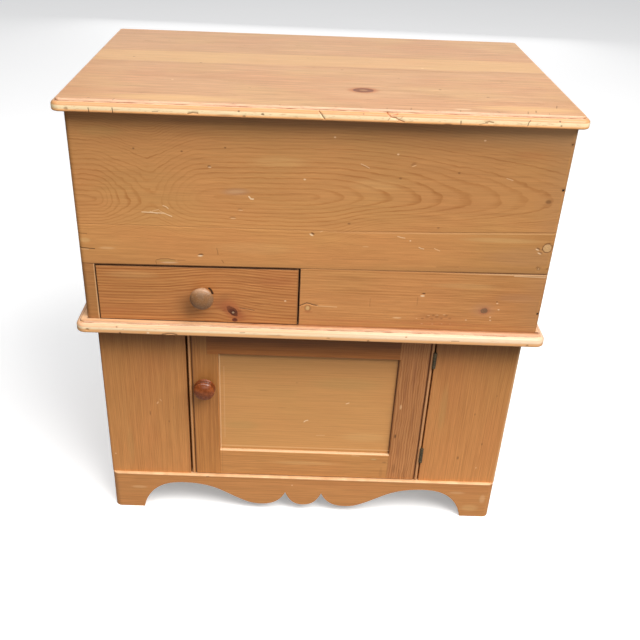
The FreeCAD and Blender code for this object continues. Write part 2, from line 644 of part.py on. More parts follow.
# door knob: turned in one piece with its spindle, which carries the latch
KX, KZ = KNOB_DOOR
knob_profile = [
    [(0.0, -37.0), (SPINDLE_R, -37.0)],
    [(SPINDLE_R, -37.0), (SPINDLE_R, 0.2)],
    [(SPINDLE_R, 0.2), (12.5, 0.2)],
    [(12.5, 0.2), (13.0, 1.2), (12.6, 2.4)],
    [(12.6, 2.4), (10.8, 4.2), (11.4, 6.2), (15.5, 7.6), (18.6, 8.8)],
    [(18.6, 8.8), (19.7, 10.4), (18.4, 12.2)],
    [(18.4, 12.2), (16.9, 13.2)],
    [(16.9, 13.2), (18.0, 14.8), (16.8, 16.4)],
    [(16.8, 16.4), (16.6, 17.2)],
    [(16.6, 17.2), (18.2, 18.4), (18.7, 20.0), (18.0, 21.8), (15.0, 24.4), (10.0, 26.4), (5.0, 27.4), (0.0, 27.7)],
    [(0.0, 27.7), (0.0, -37.0)],
]
door_knob = lathe(knob_profile, KX, BASE_Y, KZ)
hole = Part.makeCylinder(SPINDLE_R + SPINDLE_CLEAR, DOOR_T + 2, V(KX, BASE_Y - 1, KZ), V(0, 1, 0))
door_stile_left = door_stile_left.cut(hole)
# tongue behind the door; it hangs down when free and turns behind the stile
ty0 = dy1 + 0.8
ty1 = ty0 + 12.0
tongue = box(KX - 13, KX + 13, ty0, ty1, KZ - 50, KZ + 17)
tongue = tongue.makeFillet(7.0, edges_at(tongue, x=KX - 13, z=KZ - 50) + edges_at(tongue, x=KX + 13, z=KZ - 50)
                           + edges_at(tongue, x=KX - 13, z=KZ + 17) + edges_at(tongue, x=KX + 13, z=KZ + 17))
tongue = tongue.cut(Part.makeCylinder(SPINDLE_R, 14, V(KX, ty0 - 1, KZ), V(0, 1, 0)))
peg = box(KX - 1.6, KX + 1.6, ty0 + 4.4, ty0 + 7.6, KZ - 10.0, KZ + 20.0)
latch_tongue = tongue.cut(peg)
door_knob = door_knob.cut(peg)
latch_peg = peg

# ---------------------------------------------------------------- the drawer
sy0 = BOX_IN_Y0
dz0, dz1 = DRAWER_Z0, DRAWER_Z0 + DRAWER_SIDE_H


def drawer_side(xa, xb):
    """Side with three tails at the front end."""
    solids = [box(xa, xb, sy0, DRAWER_LEN, dz0, dz1)]
    pitch = DRAWER_SIDE_H / 3.0
    for i in range(3):
        zc = dz0 + pitch * (i + 0.5)
        wn, ww = 9.5, 12.0
        pts = [V(xa, sy0, zc - wn), V(xa, sy0 - DRAWER_LAP, zc - ww),
               V(xa, sy0 - DRAWER_LAP, zc + ww), V(xa, sy0, zc + wn)]
        solids.append(prism(pts, V(xb - xa, 0, 0)))
    return fuse(solids)


drawer_side_left = drawer_side(DRAWER_X0, DRAWER_X0 + DRAWER_SIDE_T)
drawer_side_right = drawer_side(DRAWER_X1 - DRAWER_SIDE_T, DRAWER_X1)
drawer_front = box(DRAWER_X0, DRAWER_X1, BOX_Y, BOX_IN_Y0, DRAWER_Z0, DRAWER_Z1)
drawer_front = soften(drawer_front, 0.9, dict(y=BOX_Y, z=DRAWER_Z1), dict(y=BOX_Y, z=DRAWER_Z0),
                      dict(y=BOX_Y, x=DRAWER_X0), dict(y=BOX_Y, x=DRAWER_X1))
drawer_front = drawer_front.cut(drawer_side_left).cut(drawer_side_right)
ix0, ix1 = DRAWER_X0 + DRAWER_SIDE_T, DRAWER_X1 - DRAWER_SIDE_T
bz0, bz1 = DRAWER_Z0 + 9.0, DRAWER_Z0 + 16.0
drawer_bottom = box(ix0 - 5, ix1 + 5, BOX_IN_Y0 - 5, DRAWER_LEN + 3, bz0, bz1)
slot = box(ix0 - 5, ix1 + 5, BOX_IN_Y0 - 5, DRAWER_LEN + 4, bz0, bz1)
drawer_front = drawer_front.cut(slot)
drawer_side_left = drawer_side_left.cut(slot)
drawer_side_right = drawer_side_right.cut(slot)
drawer_back = box(ix0, ix1, DRAWER_LEN - 15, DRAWER_LEN - 3, bz1, dz1 - 6)
drawer_back = soften(drawer_back, 1.0, dict(y=DRAWER_LEN - 15, z=dz1 - 6), dict(y=DRAWER_LEN - 3, z=dz1 - 6))
drawer_side_left = soften(drawer_side_left, 1.0, dict(x=DRAWER_X0, z=dz1), dict(x=DRAWER_X0 + DRAWER_SIDE_T, z=dz1))
drawer_side_right = soften(drawer_side_right, 1.0, dict(x=DRAWER_X1 - DRAWER_SIDE_T, z=dz1), dict(x=DRAWER_X1, z=dz1))
bottom_nails = []
for x in (-300.0, -192.0, -85.0):
    a = box(x - 1.6, x + 1.6, DRAWER_LEN - 10.6, DRAWER_LEN - 7.4, bz0, bz0 + 1.0)
    k = box(x - 0.9, x + 0.9, DRAWER_LEN - 9.9, DRAWER_LEN - 8.1, bz0 + 1.0, bz0 + 24.0)
    n = a.fuse(k).removeSplitter()
    bottom_nails.append(n)
    drawer_bottom = drawer_bottom.cut(n)
    drawer_back = drawer_back.cut(n)

# mushroom knob, turned with a round tenon glued through the drawer front
MX, MZ = KNOB_DRAWER
knob2 = [
    [(0.0, -FRONT_T), (7.5, -FRONT_T)],
    [(7.5, -FRONT_T), (7.5, 0.0)],
    [(7.5, 0.0), (11.5, 0.0)],
    [(11.5, 0.0), (11.8, 1.2), (11.0, 2.6)],
    [(11.0, 2.6), (9.2, 5.4), (9.4, 8.8), (12.6, 12.4), (17.0, 15.0)],
    [(17.0, 15.0), (19.2, 16.6), (19.7, 18.6), (18.8, 20.8), (15.6, 23.2), (10.4, 24.9), (5.2, 25.7), (0.0, 26.0)],
    [(0.0, 26.0), (0.0, -FRONT_T)],
]
drawer_knob = lathe(knob2, MX, BOX_Y, MZ)
drawer_front = drawer_front.cut(Part.makeCylinder(7.5, FRONT_T + 2, V(MX, BOX_Y - 1, MZ), V(0, 1, 0)))

drawer_front, drawer_back, drawer_bottom = to_right(drawer_front), to_right(drawer_back), to_right(drawer_bottom)
drawer_side_left, drawer_side_right = to_right(drawer_side_left), to_right(drawer_side_right)
bottom_nails, drawer_knob = [to_right(n) for n in bottom_nails], to_right(drawer_knob)

# ----------------------------------------------------------------- all nodes
parts = {
    "base_side_left": base_side_left,
    "base_side_right": base_side_right,
    "base_bottom_board": base_bottom,
    "base_back_board_left": backs[0],
    "base_back_board_middle": backs[1],
    "base_back_board_right": backs[2],
    "base_back_rail": base_back_rail,
    "base_back_nails": group(base_back_nails),
    "base_stile_left": base_stile_left,
    "base_stile_right": base_stile_right,
    "plinth_front": plinth_front,
    "foot_glue_blocks": foot_glue_blocks,
    "door_stop_strip": door_stop,
    "waist_board": waist_board,
    "box_side_left": box_side_left,
    "box_side_right": box_side_right,
    "box_front_upper": front_upper,
    "box_front_middle": front_middle,
    "box_front_lower": front_lower,
    "box_front_strip": front_strip,
    "box_front_nails": group(front_nails),
    "box_front_plug": front_plug,
    "box_back_upper": back_upper,
    "box_back_lower": back_lower,
    "box_back_nails": group(box_back_nails),
    "drawer_partition": partition,
    "well_shelf": well_shelf,
    "drawer_stop_block": drawer_stop,
    "lid_board": lid_board,
    "lid_batten_left": battens[0],
    "lid_batten_right": battens[1],
    "lid_batten_screws": group(batten_screws),
    "lid_hinge_fixed_leaves": group(lid_fixed),
    "lid_hinge_moving_leaves": group(lid_moving),
    "lid_hinge_pins": group(lid_pins),
    "lid_hinge_fixed_screws": group(lid_fs),
    "lid_hinge_moving_screws": group(lid_ms),
    "door_stile_left": door_stile_left,
    "door_stile_right": door_stile_right,
    "door_rail_top": door_rail_top,
    "door_rail_bottom": door_rail_bottom,
    "door_panel": door_panel,
    "door_hinge_fixed_leaves": group(door_fixed),
    "door_hinge_moving_leaves": group(door_moving),
    "door_hinge_pins": group(door_pins),
    "door_hinge_fixed_screws": group(door_fs),
    "door_hinge_moving_screws": group(door_ms),
    "door_knob": door_knob,
    "latch_tongue": latch_tongue,
    "latch_peg": latch_peg,
    "drawer_front": drawer_front,
    "drawer_side_left": drawer_side_left,
    "drawer_side_right": drawer_side_right,
    "drawer_back": drawer_back,
    "drawer_bottom": drawer_bottom,
    "drawer_bottom_nails": group(bottom_nails),
    "drawer_knob": drawer_knob,
}

os.makedirs("parts", exist_ok=True)
for name, shape in parts.items():
    s = shape.copy()
    s.translate(V(0, -Y_MID, 0))
    if not s.isValid():
        print("INVALID", name)
    if abs(s.Volume) < 1e-6:
        print("EMPTY", name)
    s.exportStep("parts/%s.step" % name)

whole = Part.makeCompound(list(parts.values()))
bb = whole.BoundBox
print("nodes", len(parts), "box x %.2f..%.2f y %.2f..%.2f z %.2f..%.2f" % (
    bb.XMin, bb.XMax, bb.YMin - Y_MID, bb.YMax - Y_MID, bb.ZMin, bb.ZMax))
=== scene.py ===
import bpy
import bmesh
import math
import numpy as np
from mathutils import Matrix, Vector


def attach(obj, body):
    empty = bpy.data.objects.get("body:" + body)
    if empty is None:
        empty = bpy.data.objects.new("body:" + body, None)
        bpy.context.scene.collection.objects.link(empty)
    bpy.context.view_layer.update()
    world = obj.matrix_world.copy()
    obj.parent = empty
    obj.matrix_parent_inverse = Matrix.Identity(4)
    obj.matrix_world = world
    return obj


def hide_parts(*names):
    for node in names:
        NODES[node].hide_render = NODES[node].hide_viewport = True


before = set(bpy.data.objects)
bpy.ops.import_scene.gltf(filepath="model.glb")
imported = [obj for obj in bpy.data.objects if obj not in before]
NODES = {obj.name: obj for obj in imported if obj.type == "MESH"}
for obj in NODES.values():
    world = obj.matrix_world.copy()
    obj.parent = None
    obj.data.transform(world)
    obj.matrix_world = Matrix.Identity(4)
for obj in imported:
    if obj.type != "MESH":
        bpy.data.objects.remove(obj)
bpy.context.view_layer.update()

# Row frame: metres, origin on the floor at the centre of the footprint.
# Numbers below are millimetres in that same frame unless they say otherwise.
YM = 251.1                      # CAD's own y (0 at the lid's front edge) minus this is the row's y
FRONT = 16.6 - YM               # face of the well's box
BASE = 30.8 - YM                # face of the cupboard


# ============================================================ node language
class Val:
    """A value or vector socket, or a number, that adds maths nodes as it is used."""

    def __init__(self, net, sock):
        self.net, self.sock = net, sock

    def __add__(self, o): return self.net.math("ADD", self, o)
    def __radd__(self, o): return self.net.math("ADD", o, self)
    def __sub__(self, o): return self.net.math("SUBTRACT", self, o)
    def __rsub__(self, o): return self.net.math("SUBTRACT", o, self)
    def __mul__(self, o): return self.net.math("MULTIPLY", self, o)
    def __rmul__(self, o): return self.net.math("MULTIPLY", o, self)
    def __truediv__(self, o): return self.net.math("DIVIDE", self, o)
    def __neg__(self): return self.net.math("MULTIPLY", self, -1.0)


class Net:
    def __init__(self, name):
        self.mat = bpy.data.materials.new(name)
        self.mat.use_nodes = True
        self.t = self.mat.node_tree
        self.t.nodes.clear()
        self.count = 0
        self._pos = None

    def node(self, kind, **props):
        n = self.t.nodes.new(kind)
        n.location = (180 * (self.count % 40), -170 * (self.count // 40))
        self.count += 1
        for k, v in props.items():
            setattr(n, k, v)
        return n

    def put(self, socket, value):
        if isinstance(value, Val):
            self.t.links.new(value.sock, socket)
        elif value is not None:
            socket.default_value = value

    def math(self, op, a, b=None, c=None, clamp=False):
        n = self.node("ShaderNodeMath", operation=op, use_clamp=clamp)
        for i, x in enumerate((a, b, c)):
            if x is not None:
                self.put(n.inputs[i], x)
        return Val(self, n.outputs[0])

    def vmath(self, op, a, b=None, scale=None):
        n = self.node("ShaderNodeVectorMath", operation=op)
        self.put(n.inputs[0], a)
        if b is not None:
            self.put(n.inputs[1], b)
        if scale is not None:
            self.put(n.inputs["Scale"], scale)
        out = n.outputs["Value"] if op in ("LENGTH", "DOT_PRODUCT", "DISTANCE") else n.outputs["Vector"]
        return Val(self, out)

    def sin(self, a): return self.math("SINE", a)
    def sqrt(self, a): return self.math("SQRT", a)
    def exp(self, a): return self.math("EXPONENT", a)
    def abs(self, a): return self.math("ABSOLUTE", a)
    def floor(self, a): return self.math("FLOOR", a)
    def frac(self, a): return self.math("FRACT", a)
    def max(self, a, b): return self.math("MAXIMUM", a, b)
    def min(self, a, b): return self.math("MINIMUM", a, b)
    def clamp(self, a): return self.math("ADD", a, 0.0, clamp=True)

    def xyz(self, x, y, z):
        n = self.node("ShaderNodeCombineXYZ")
        for i, v in enumerate((x, y, z)):
            self.put(n.inputs[i], v)
        return Val(self, n.outputs[0])

    def position(self):
        """Object coordinates in millimetres, as x, y, z."""
        if self._pos is None:
            tc = self.node("ShaderNodeTexCoord")
            mm = self.vmath("SCALE", Val(self, tc.outputs["Object"]), scale=1000.0)
            s = self.node("ShaderNodeSeparateXYZ")
            self.put(s.inputs[0], mm)
            self._pos = tuple(Val(self, s.outputs[i]) for i in range(3))
            self.mm = mm
        return self._pos

    def smooth(self, v, a, b, c=0.0, d=1.0, kind="SMOOTHSTEP"):
        n = self.node("ShaderNodeMapRange", interpolation_type=kind)
        for i, x in enumerate((v, a, b, c, d)):
            self.put(n.inputs[i], x)
        return Val(self, n.outputs[0])

    def lin(self, v, a, b, c=0.0, d=1.0):
        return self.smooth(v, a, b, c, d, "LINEAR")

    def noise(self, vec, scale=1.0, detail=2.0, rough=0.5, dist=0.0, seed=None):
        """Noise about 0.5.  seed shifts it in a fourth dimension."""
        n = self.node("ShaderNodeTexNoise", noise_dimensions="3D" if seed is None else "4D")
        self.put(n.inputs["Vector"], vec)
        n.inputs["Scale"].default_value = scale
        n.inputs["Detail"].default_value = detail
        n.inputs["Roughness"].default_value = rough
        n.inputs["Distortion"].default_value = dist
        if seed is not None:
            n.inputs["W"].default_value = seed
        return Val(self, n.outputs["Fac"] if "Fac" in n.outputs else n.outputs[0])

    def random(self, value):
        n = self.node("ShaderNodeTexWhiteNoise", noise_dimensions="1D")
        self.put(n.inputs["W"], value)
        return Val(self, n.outputs["Value"])

    def voronoi(self, vec, scale, feature="F1", rand=1.0):
        n = self.node("ShaderNodeTexVoronoi", feature=feature)
        self.put(n.inputs["Vector"], vec)
        n.inputs["Scale"].default_value = scale
        n.inputs["Randomness"].default_value = rand
        return Val(self, n.outputs["Distance"])

    def mix(self, fac, a, b, mode="MIX"):
        n = self.node("ShaderNodeMix", data_type="RGBA", blend_type=mode)
        self.put(n.inputs[0], fac)
        for i, v in ((6, a), (7, b)):
            if isinstance(v, Val):
                self.put(n.inputs[i], v)
            else:
                n.inputs[i].default_value = (*v, 1.0)
        return Val(self, n.outputs[2])

    def curve(self, v, a, b, points, low, high):
        """Smooth curve through (v, value) points."""
        t = self.lin(v, a, b)
        n = self.node("ShaderNodeFloatCurve")
        self.put(n.inputs["Value"], t)
        c = n.mapping.curves[0]
        pts = [((x - a) / (b - a), (y - low) / (high - low)) for x, y in points]
        c.points[0].location, c.points[1].location = pts[0], pts[-1]
        for p in pts[1:-1]:
            c.points.new(*p)
        n.mapping.update()
        return self.lin(Val(self, n.outputs[0]), 0, 1, low, high)

    # ---- marks
    def bump_at(self, p, q, centre, radii, angle=0.0):
        """Bell of height 1 at centre in the (p, q) plane."""
        dp, dq = p - centre[0], q - centre[1]
        if angle:
            c, s = math.cos(angle), math.sin(angle)
            dp, dq = dp * c + dq * s, dq * c - dp * s
        e = self.math("MULTIPLY", dp, dp) * (1.0 / radii[0] ** 2) + self.math("MULTIPLY", dq, dq) * (1.0 / radii[1] ** 2)
        return self.exp(-e)

    def disc(self, p, q, centre, radii, soft=0.15, angle=0.0, wobble=None):
        """1 inside an ellipse, 0 outside."""
        dp, dq = p - centre[0], q - centre[1]
        if angle:
            c, s = math.cos(angle), math.sin(angle)
            dp, dq = dp * c + dq * s, dq * c - dp * s
        r = self.sqrt(self.math("MULTIPLY", dp, dp) * (1.0 / radii[0] ** 2)
                      + self.math("MULTIPLY", dq, dq) * (1.0 / radii[1] ** 2))
        if wobble is not None:
            r = r + wobble
        return self.smooth(r, 1 - soft, 1 + soft, 1.0, 0.0), r

    def stroke(self, pq, a, b, half, soft=0.6):
        """1 on the line from a to b in the plane of the 2-D vector pq."""
        ba = (b[0] - a[0], b[1] - a[1], 0.0)
        ll = ba[0] ** 2 + ba[1] ** 2
        pa = self.vmath("SUBTRACT", pq, (a[0], a[1], 0.0))
        h = self.math("MULTIPLY", self.vmath("DOT_PRODUCT", pa, ba), 1.0 / ll, clamp=True)
        d = self.vmath("DISTANCE", pa, self.vmath("SCALE", ba, scale=h))
        return self.smooth(d, half, half + soft, 1.0, 0.0)

    def strokes(self, pq, points, half, soft=0.6):
        out = None
        for a, b in zip(points, points[1:]):
            m = self.stroke(pq, a, b, half, soft)
            out = m if out is None else self.max(out, m)
        return out

    def finish(self, color, rough, height=None, bump_mm=0.2, strength=0.5, specular=0.45, coat=0.0,
               coat_rough=0.2, metallic=0.0, sheen=0.0):
        b = self.node("ShaderNodeBsdfPrincipled")
        self.put(b.inputs["Base Color"], color if isinstance(color, Val) else (*color, 1.0))
        self.put(b.inputs["Roughness"], rough)
        b.inputs["Specular IOR Level"].default_value = specular
        b.inputs["Coat Weight"].default_value = coat
        b.inputs["Coat Roughness"].default_value = coat_rough
        b.inputs["Metallic"].default_value = metallic
        b.inputs["Sheen Weight"].default_value = sheen
        if height is not None:
            n = self.node("ShaderNodeBump")
            n.inputs["Strength"].default_value = strength
            n.inputs["Distance"].default_value = bump_mm / 1000.0
            self.put(n.inputs["Height"], height)
            self.put(b.inputs["Normal"], Val(self, n.outputs[0]))
        o = self.node("ShaderNodeOutputMaterial")
        self.t.links.new(b.outputs[0], o.inputs[0])
        return self.mat


# ================================================================ the timber
AXES = {"x": (0, 2, 1), "z": (2, 0, 1), "y": (1, 0, 2), "lid": (0, 1, 2), "side_z": (2, 1, 0), "side_y": (1, 2, 0)}


# ------------------------------------------------------------------ materials
TONES = {"dark": (0.16, 0.065, 0.022), "brown": (0.30, 0.125, 0.04), "black": (0.012, 0.008, 0.006),
         "light": (0.82, 0.52, 0.27), "white": (0.86, 0.62, 0.38), "purple": (0.40, 0.22, 0.13),
         "green": (0.42, 0.27, 0.09), "red": (0.42, 0.13, 0.045), "yellow": (0.80, 0.52, 0.22),
         "knot": (0.035, 0.028, 0.030), "maroon": (0.13, 0.028, 0.014)}


def dot(p, q, rp, rq, tone, amount, depth=0.0, angle=0.0, soft=0.45):
    return ("dot", (p, q), (rp, rq), angle, soft, tone, amount, depth)


def line(points, half, tone, amount, depth=0.0, soft=0.6):
    return ("line", points, half, 0.0, soft, tone, amount, depth)


def paint(n, p, q, color, rough, items):
    """Marks in the plane (p, q): stains, dents, scratches, and a few painted shadows and highlights.  Their edges shift
    a little with the timber's tone.
    """
    shift = n.math("MULTIPLY", color, 0.08)
    p, q = p + shift, q + shift
    pq = n.xyz(p, q, 0.0)
    for kind, at, size, angle, soft, tone, amount, depth in items:
        if kind == "dot":
            m, _ = n.disc(p, q, at, size, soft, angle)
        else:
            m = n.strokes(pq, at, size, soft)
        color = n.mix(n.math("MULTIPLY", m, amount), color, TONES[tone])
    return color, rough


def pine(name, axis="x", early=(0.66, 0.325, 0.105), late=(0.48, 0.20, 0.052), warm=(0.64, 0.275, 0.09),
         green=(0.58, 0.325, 0.10), gain=(1, 1, 1), ring=3.2, contrast=0.5, v0=-400.0, slope=0.0, warp=1.0, fibre=0.35,
         rough=0.42, coat=0.0, seed=0.0, field=None, phase=None, after=None, specular=0.4, sheen=0.0, blotch=0.35,
         streak=0.3, bump=0.35, ringvar=0.9, edge=(0.30, 0.88), marks=(), wob_scale=1.0, fine_warp=3.2, floor_=0.35,
         painted_shade_v=None, painted_shade_u=None, curl=0.0, patch=0.3,
         mute=None):
    """Pine timber.  field(n, u, v, w) gives the distance from the pith that the growth rings follow, phase(n, F) the
    ring number; the shade curves of (position, factor) points along v and u darken the colour: painted shade under
    overhangs and painted falloff of the light across a face."""
    n = Net(name)
    pos = n.position()
    iu, iv, iw = AXES[axis]
    u, v, w = pos[iu], pos[iv], pos[iw]
    coarse = n.noise(n.xyz(u * (1 / (170.0 * wob_scale)), v * (1 / 60.0), w * (1 / 60.0)), 1.0, 1.0, 0.5, seed=seed + 1.3)
    fine = n.noise(n.xyz(u * (1 / (42.0 * wob_scale)), v * (1 / 22.0), w * (1 / 22.0)), 1.0, 2.0, 0.5, seed=seed + 7.1)
    wob = (coarse - 0.5) * (14.0 * warp) + (fine - 0.5) * (fine_warp * warp)
    if curl:
        wavy = n.noise(n.xyz(u * (1 / 13.0), v * (1 / 16.0), w * (1 / 16.0)), 1.0, 1.0, 0.5, seed=seed + 31.0)
        wob = wob + (wavy - 0.5) * curl
    if field is not None:
        F = field(n, u, v, w)
    else:
        vv = v - v0
        if slope:
            vv = vv - u * slope
        F = n.sqrt(n.math("MULTIPLY", vv, vv) + 900.0)
    F = F + wob
    if phase is not None:
        ph = phase(n, F)
    else:
        slow = n.noise(n.xyz(F * (1 / 16.0), 0.37 + seed, 0.0), 1.0, 1.0, 0.5)
        ph = F * (1.0 / ring) + slow * ringvar * 2.2
    t = n.frac(ph)
    which = n.floor(ph)
    rnd = n.random(which + seed * 3.7)
    late_m = n.math("MULTIPLY", n.smooth(t, edge[0], edge[1]), n.smooth(t, edge[1] + 0.01, 1.0, 1.0, 0.0))
    late_m = n.math("MULTIPLY", late_m, rnd * (1.2 - floor_) + floor_)
    if patch:
        pn = n.noise(n.xyz(u * (1 / 38.0), v * (1 / 13.0), w * (1 / 13.0)), 1.0, 2.0, 0.6, seed=seed + 41.0)
        late_m = n.math("MULTIPLY", late_m, n.lin(pn, 0.32, 0.68, 1.0 - patch, 1.0 + patch * 0.35))
    if mute is not None:
        late_m = n.math("MULTIPLY", late_m, mute(n, u, v))
    f1 = n.noise(n.xyz(u * (1 / 34.0), v * (1 / 0.9), w * (1 / 0.9)), 1.0, 3.0, 0.6, seed=seed + 2.2)
    f2 = n.noise(n.xyz(u * (1 / 120.0), v * (1 / 3.4), w * (1 / 3.4)), 1.0, 2.0, 0.55, seed=seed + 4.9)
    blot = n.noise(n.xyz(u * (1 / 240.0), v * (1 / 52.0), w * (1 / 52.0)), 1.0, 2.0, 0.5, seed=seed + 11.0)
    blot2 = n.noise(n.xyz(u * (1 / 150.0), v * (1 / 90.0), w * (1 / 90.0)), 1.0, 2.0, 0.5, seed=seed + 17.0)
    g = gain
    e, l_, wm, gr = (tuple(c * k for c, k in zip(col, g)) for col in (early, late, warm, green))
    color = n.mix(n.smooth(blot, 0.42, 0.66, 0.0, blotch), e, wm)
    color = n.mix(n.smooth(blot2, 0.44, 0.68, 0.0, blotch), color, gr)
    color = n.mix(n.math("MULTIPLY", late_m, contrast, clamp=True), color, l_)
    color = n.mix(n.smooth(f2, 0.38, 0.66, 0.0, streak), color, l_)
    tone = n.lin(f1, 0.25, 0.75, 1.0 - fibre * 0.5, 1.0 + fibre * 0.4)
    tone = n.math("MULTIPLY", tone, n.lin(f2, 0.25, 0.75, 1.0 + fibre * 0.25, 1.0 - fibre * 0.25))
    # painted shade and painted light falloff: the colour is darkened along v and u by the two shade curves
    for axis_, pts in ((v, painted_shade_v), (u, painted_shade_u)):
        if pts:
            lo, hi = min(k for _, k in pts) - 0.01, max(k for _, k in pts) + 0.01
            tone = n.math("MULTIPLY", tone, n.curve(axis_, pts[0][0], pts[-1][0], pts, lo, hi))
    color = n.mix(1.0, color, n.xyz(tone, tone, tone), "MULTIPLY")
    can = n.noise(n.xyz(u * (1 / 7.0), v * (1 / 0.55), w * (1 / 0.55)), 1.0, 1.0, 0.5, seed=seed + 23.0)
    color = n.mix(n.smooth(can, 0.72, 0.80, 0.0, 0.30), color, (l_[0] * 0.6, l_[1] * 0.5, l_[2] * 0.5))
    r = n.lin(f1, 0.2, 0.8, rough - 0.05, rough + 0.07)
    r = r + late_m * -0.05
    height = f1 * 0.5 + late_m * 0.9
    if after is not None:
        color, r, height = after(n, u, v, w, color, r, height)
    if marks:
        color, r = paint(n, u, v, color, r, marks)
    return n.finish(color, r, height, bump_mm=0.12, strength=bump, coat=coat, specular=specular, sheen=sheen)


def use(mat, *names):
    for name in names:
        o = NODES[name]
        o.data.materials.clear()
        o.data.materials.append(mat)


def iron(name, base=(0.035, 0.028, 0.02), rust=(0.10, 0.055, 0.03), rough=0.5, seed=0.0):
    n = Net(name)
    n.position()
    a = n.noise(n.mm, 0.35, 3.0, 0.6, seed=seed)
    b = n.noise(n.mm, 1.7, 2.0, 0.6, seed=seed + 3)
    c = n.mix(n.smooth(a, 0.42, 0.66), base, rust)
    c = n.mix(n.smooth(b, 0.60, 0.75, 0.0, 0.5), c, (0.22, 0.19, 0.15))
    return n.finish(c, n.lin(b, 0.3, 0.7, rough - 0.12, rough + 0.2), a * 0.6 + b * 0.4, bump_mm=0.25, strength=0.5,
                    metallic=0.75, specular=0.5)


# ------------------------------------------------------------ how boards grew
def front_field(n, u, v, w):
    """The wide front: a plank sawn near the pith.  Its arches run out to the right, close up at the left, and meet
    a second, rippled set at the left end."""
    zc = n.curve(u, -384, 384, [(-384, 651), (-250, 652), (-170, 660), (-20, 665), (60, 668), (200, 667), (384, 669)], 640, 680)
    D = n.curve(u, -384, 384, [(-384, 1), (-352, 6), (-340, 11), (-333, 17), (-326, 25), (-318, 34), (-308, 42), (-293, 50),
                               (-275, 59), (-258, 64), (-246, 60), (-235, 52), (-222, 42), (-208, 31), (-195, 20), (-180, 12),
                               (-150, 7), (-100, 5), (-30, 5), (0, 7), (30, 14), (80, 26), (135, 36), (175, 45), (208, 53),
                               (260, 61), (302, 69), (360, 78), (384, 82)], 0, 90)
    low = n.curve(u, -384, 384, [(-384, 1.5), (-280, 1.6), (-180, 1.4), (0, 1.2), (70, 1.5), (140, 1.8), (384, 1.8)], 1, 2)
    dz = v - zc
    below = n.smooth(dz, 3.0, -3.0)
    dz = n.math("MULTIPLY", dz, n.math("MULTIPLY", below, low - 1.0) + 1.0)
    F = n.sqrt(n.math("MULTIPLY", dz, dz) + n.math("MULTIPLY", D, D))
    # ripples of the rings, strongest round the left set
    k = n.noise(n.xyz(u * (1 / 30.0), v * (1 / 19.0), 3.0), 1.0, 1.0, 0.5, seed=3.3)
    F = F + n.math("MULTIPLY", k - 0.5, n.lin(u, -384.0, 60.0, 7.0, 3.5))
    k2 = n.noise(n.xyz(u * (1 / 11.0), v * (1 / 7.5), 5.0), 1.0, 1.0, 0.5, seed=6.3)
    amp = n.curve(u, -384, 384, [(-384, 4.6), (-260, 4.2), (-200, 1.6), (0, 1.0), (120, 1.8), (384, 2.4)], 0, 5)
    return F + n.math("MULTIPLY", k2 - 0.5, amp)


def front_mute(n, u, v):
    """Where the rings show least: the middle of the board's left half."""
    return 1.0 - n.bump_at(u, v, (-205.0, 662.0), (42.0, 34.0)) * 0.85


def front_phase(n, F):
    g = n.max(F - 60.0, 0.0)
    return F * (1 / 8.4) + n.math("MULTIPLY", g, g) * 0.0013


def over(n, u, v, cu, cv, height, wide, reach, below=0.35):
    """Grain that arches over a knot at (cu, cv); returns how far a line is lifted there."""
    du = (u - cu) * (1.0 / wide)
    bell = n.exp(-n.math("MULTIPLY", du, du))
    up = n.exp(-n.math("ABSOLUTE", (v - cv) * (1.0 / reach)))
    side = n.smooth(v, cv - 4.0, cv + 4.0, -below, 1.0)
    return n.math("MULTIPLY", n.math("MULTIPLY", bell, up), n.math("MULTIPLY", side, height))


def lower_field(n, u, v, w):
    lift = over(n, u, v, 289.0, 473.0, 14.0, 52.0, 34.0)
    lift = lift + over(n, u, v, -8.0, 471.0, 7.0, 16.0, 16.0, 0.8)
    return v - lift + u * 0.004 - n.lin(u, 320.0, 386.0, 0.0, 6.0)


def drawer_field(n, u, v, w):
    """Lines that climb to a crest over the drawer's knot and fall away slowly to the right."""
    lift = n.curve(u, -360, -20, [(-360, 0), (-300, 0.4), (-258, 1.5), (-225, 5), (-190, 10.5), (-160, 13.5), (-130, 13),
                                  (-95, 9.5), (-60, 6), (-20, 3.5)], 0, 15)
    keep = n.curve(v, 434, 541, [(434, 0.15), (452, 0.55), (475, 1.0), (510, 0.95), (541, 0.7)], 0, 1)
    wrap = over(n, u, v, -133.0, 455.0, 9.0, 19.0, 17.0, 0.9)
    return v - n.math("MULTIPLY", lift, keep) - wrap


def knot(n, p, q, color, height, at, size, angle, halo, core=TONES["knot"], ring=1.6, soft=0.16, amount=0.93, light=0.0):
    """A knot: a reddish halo, rings about its own heart, a dark rim and a cracked heart."""
    wob = n.noise(n.xyz(p * 0.16, q * 0.16, at[0]), 1.0, 2.0, 0.6)
    m, r = n.disc(p, q, at, size, soft, angle, wobble=(wob - 0.5) * 0.5)
    hm = n.smooth(r, 1.0, halo, 0.75, 0.0)
    color = n.mix(hm, color, TONES["red"])
    rings = n.frac(r * ring + wob * 0.8)
    dark = n.smooth(rings, 0.35, 0.8, 0.55, 1.0)
    inner = n.mix(dark, TONES["brown"], core)
    if light:
        inner = n.mix(n.smooth(r, 0.62, 0.25, 0.0, light), inner, (0.50, 0.27, 0.13))
    color = n.mix(m * amount, color, inner)
    return color, height - m * 1.2


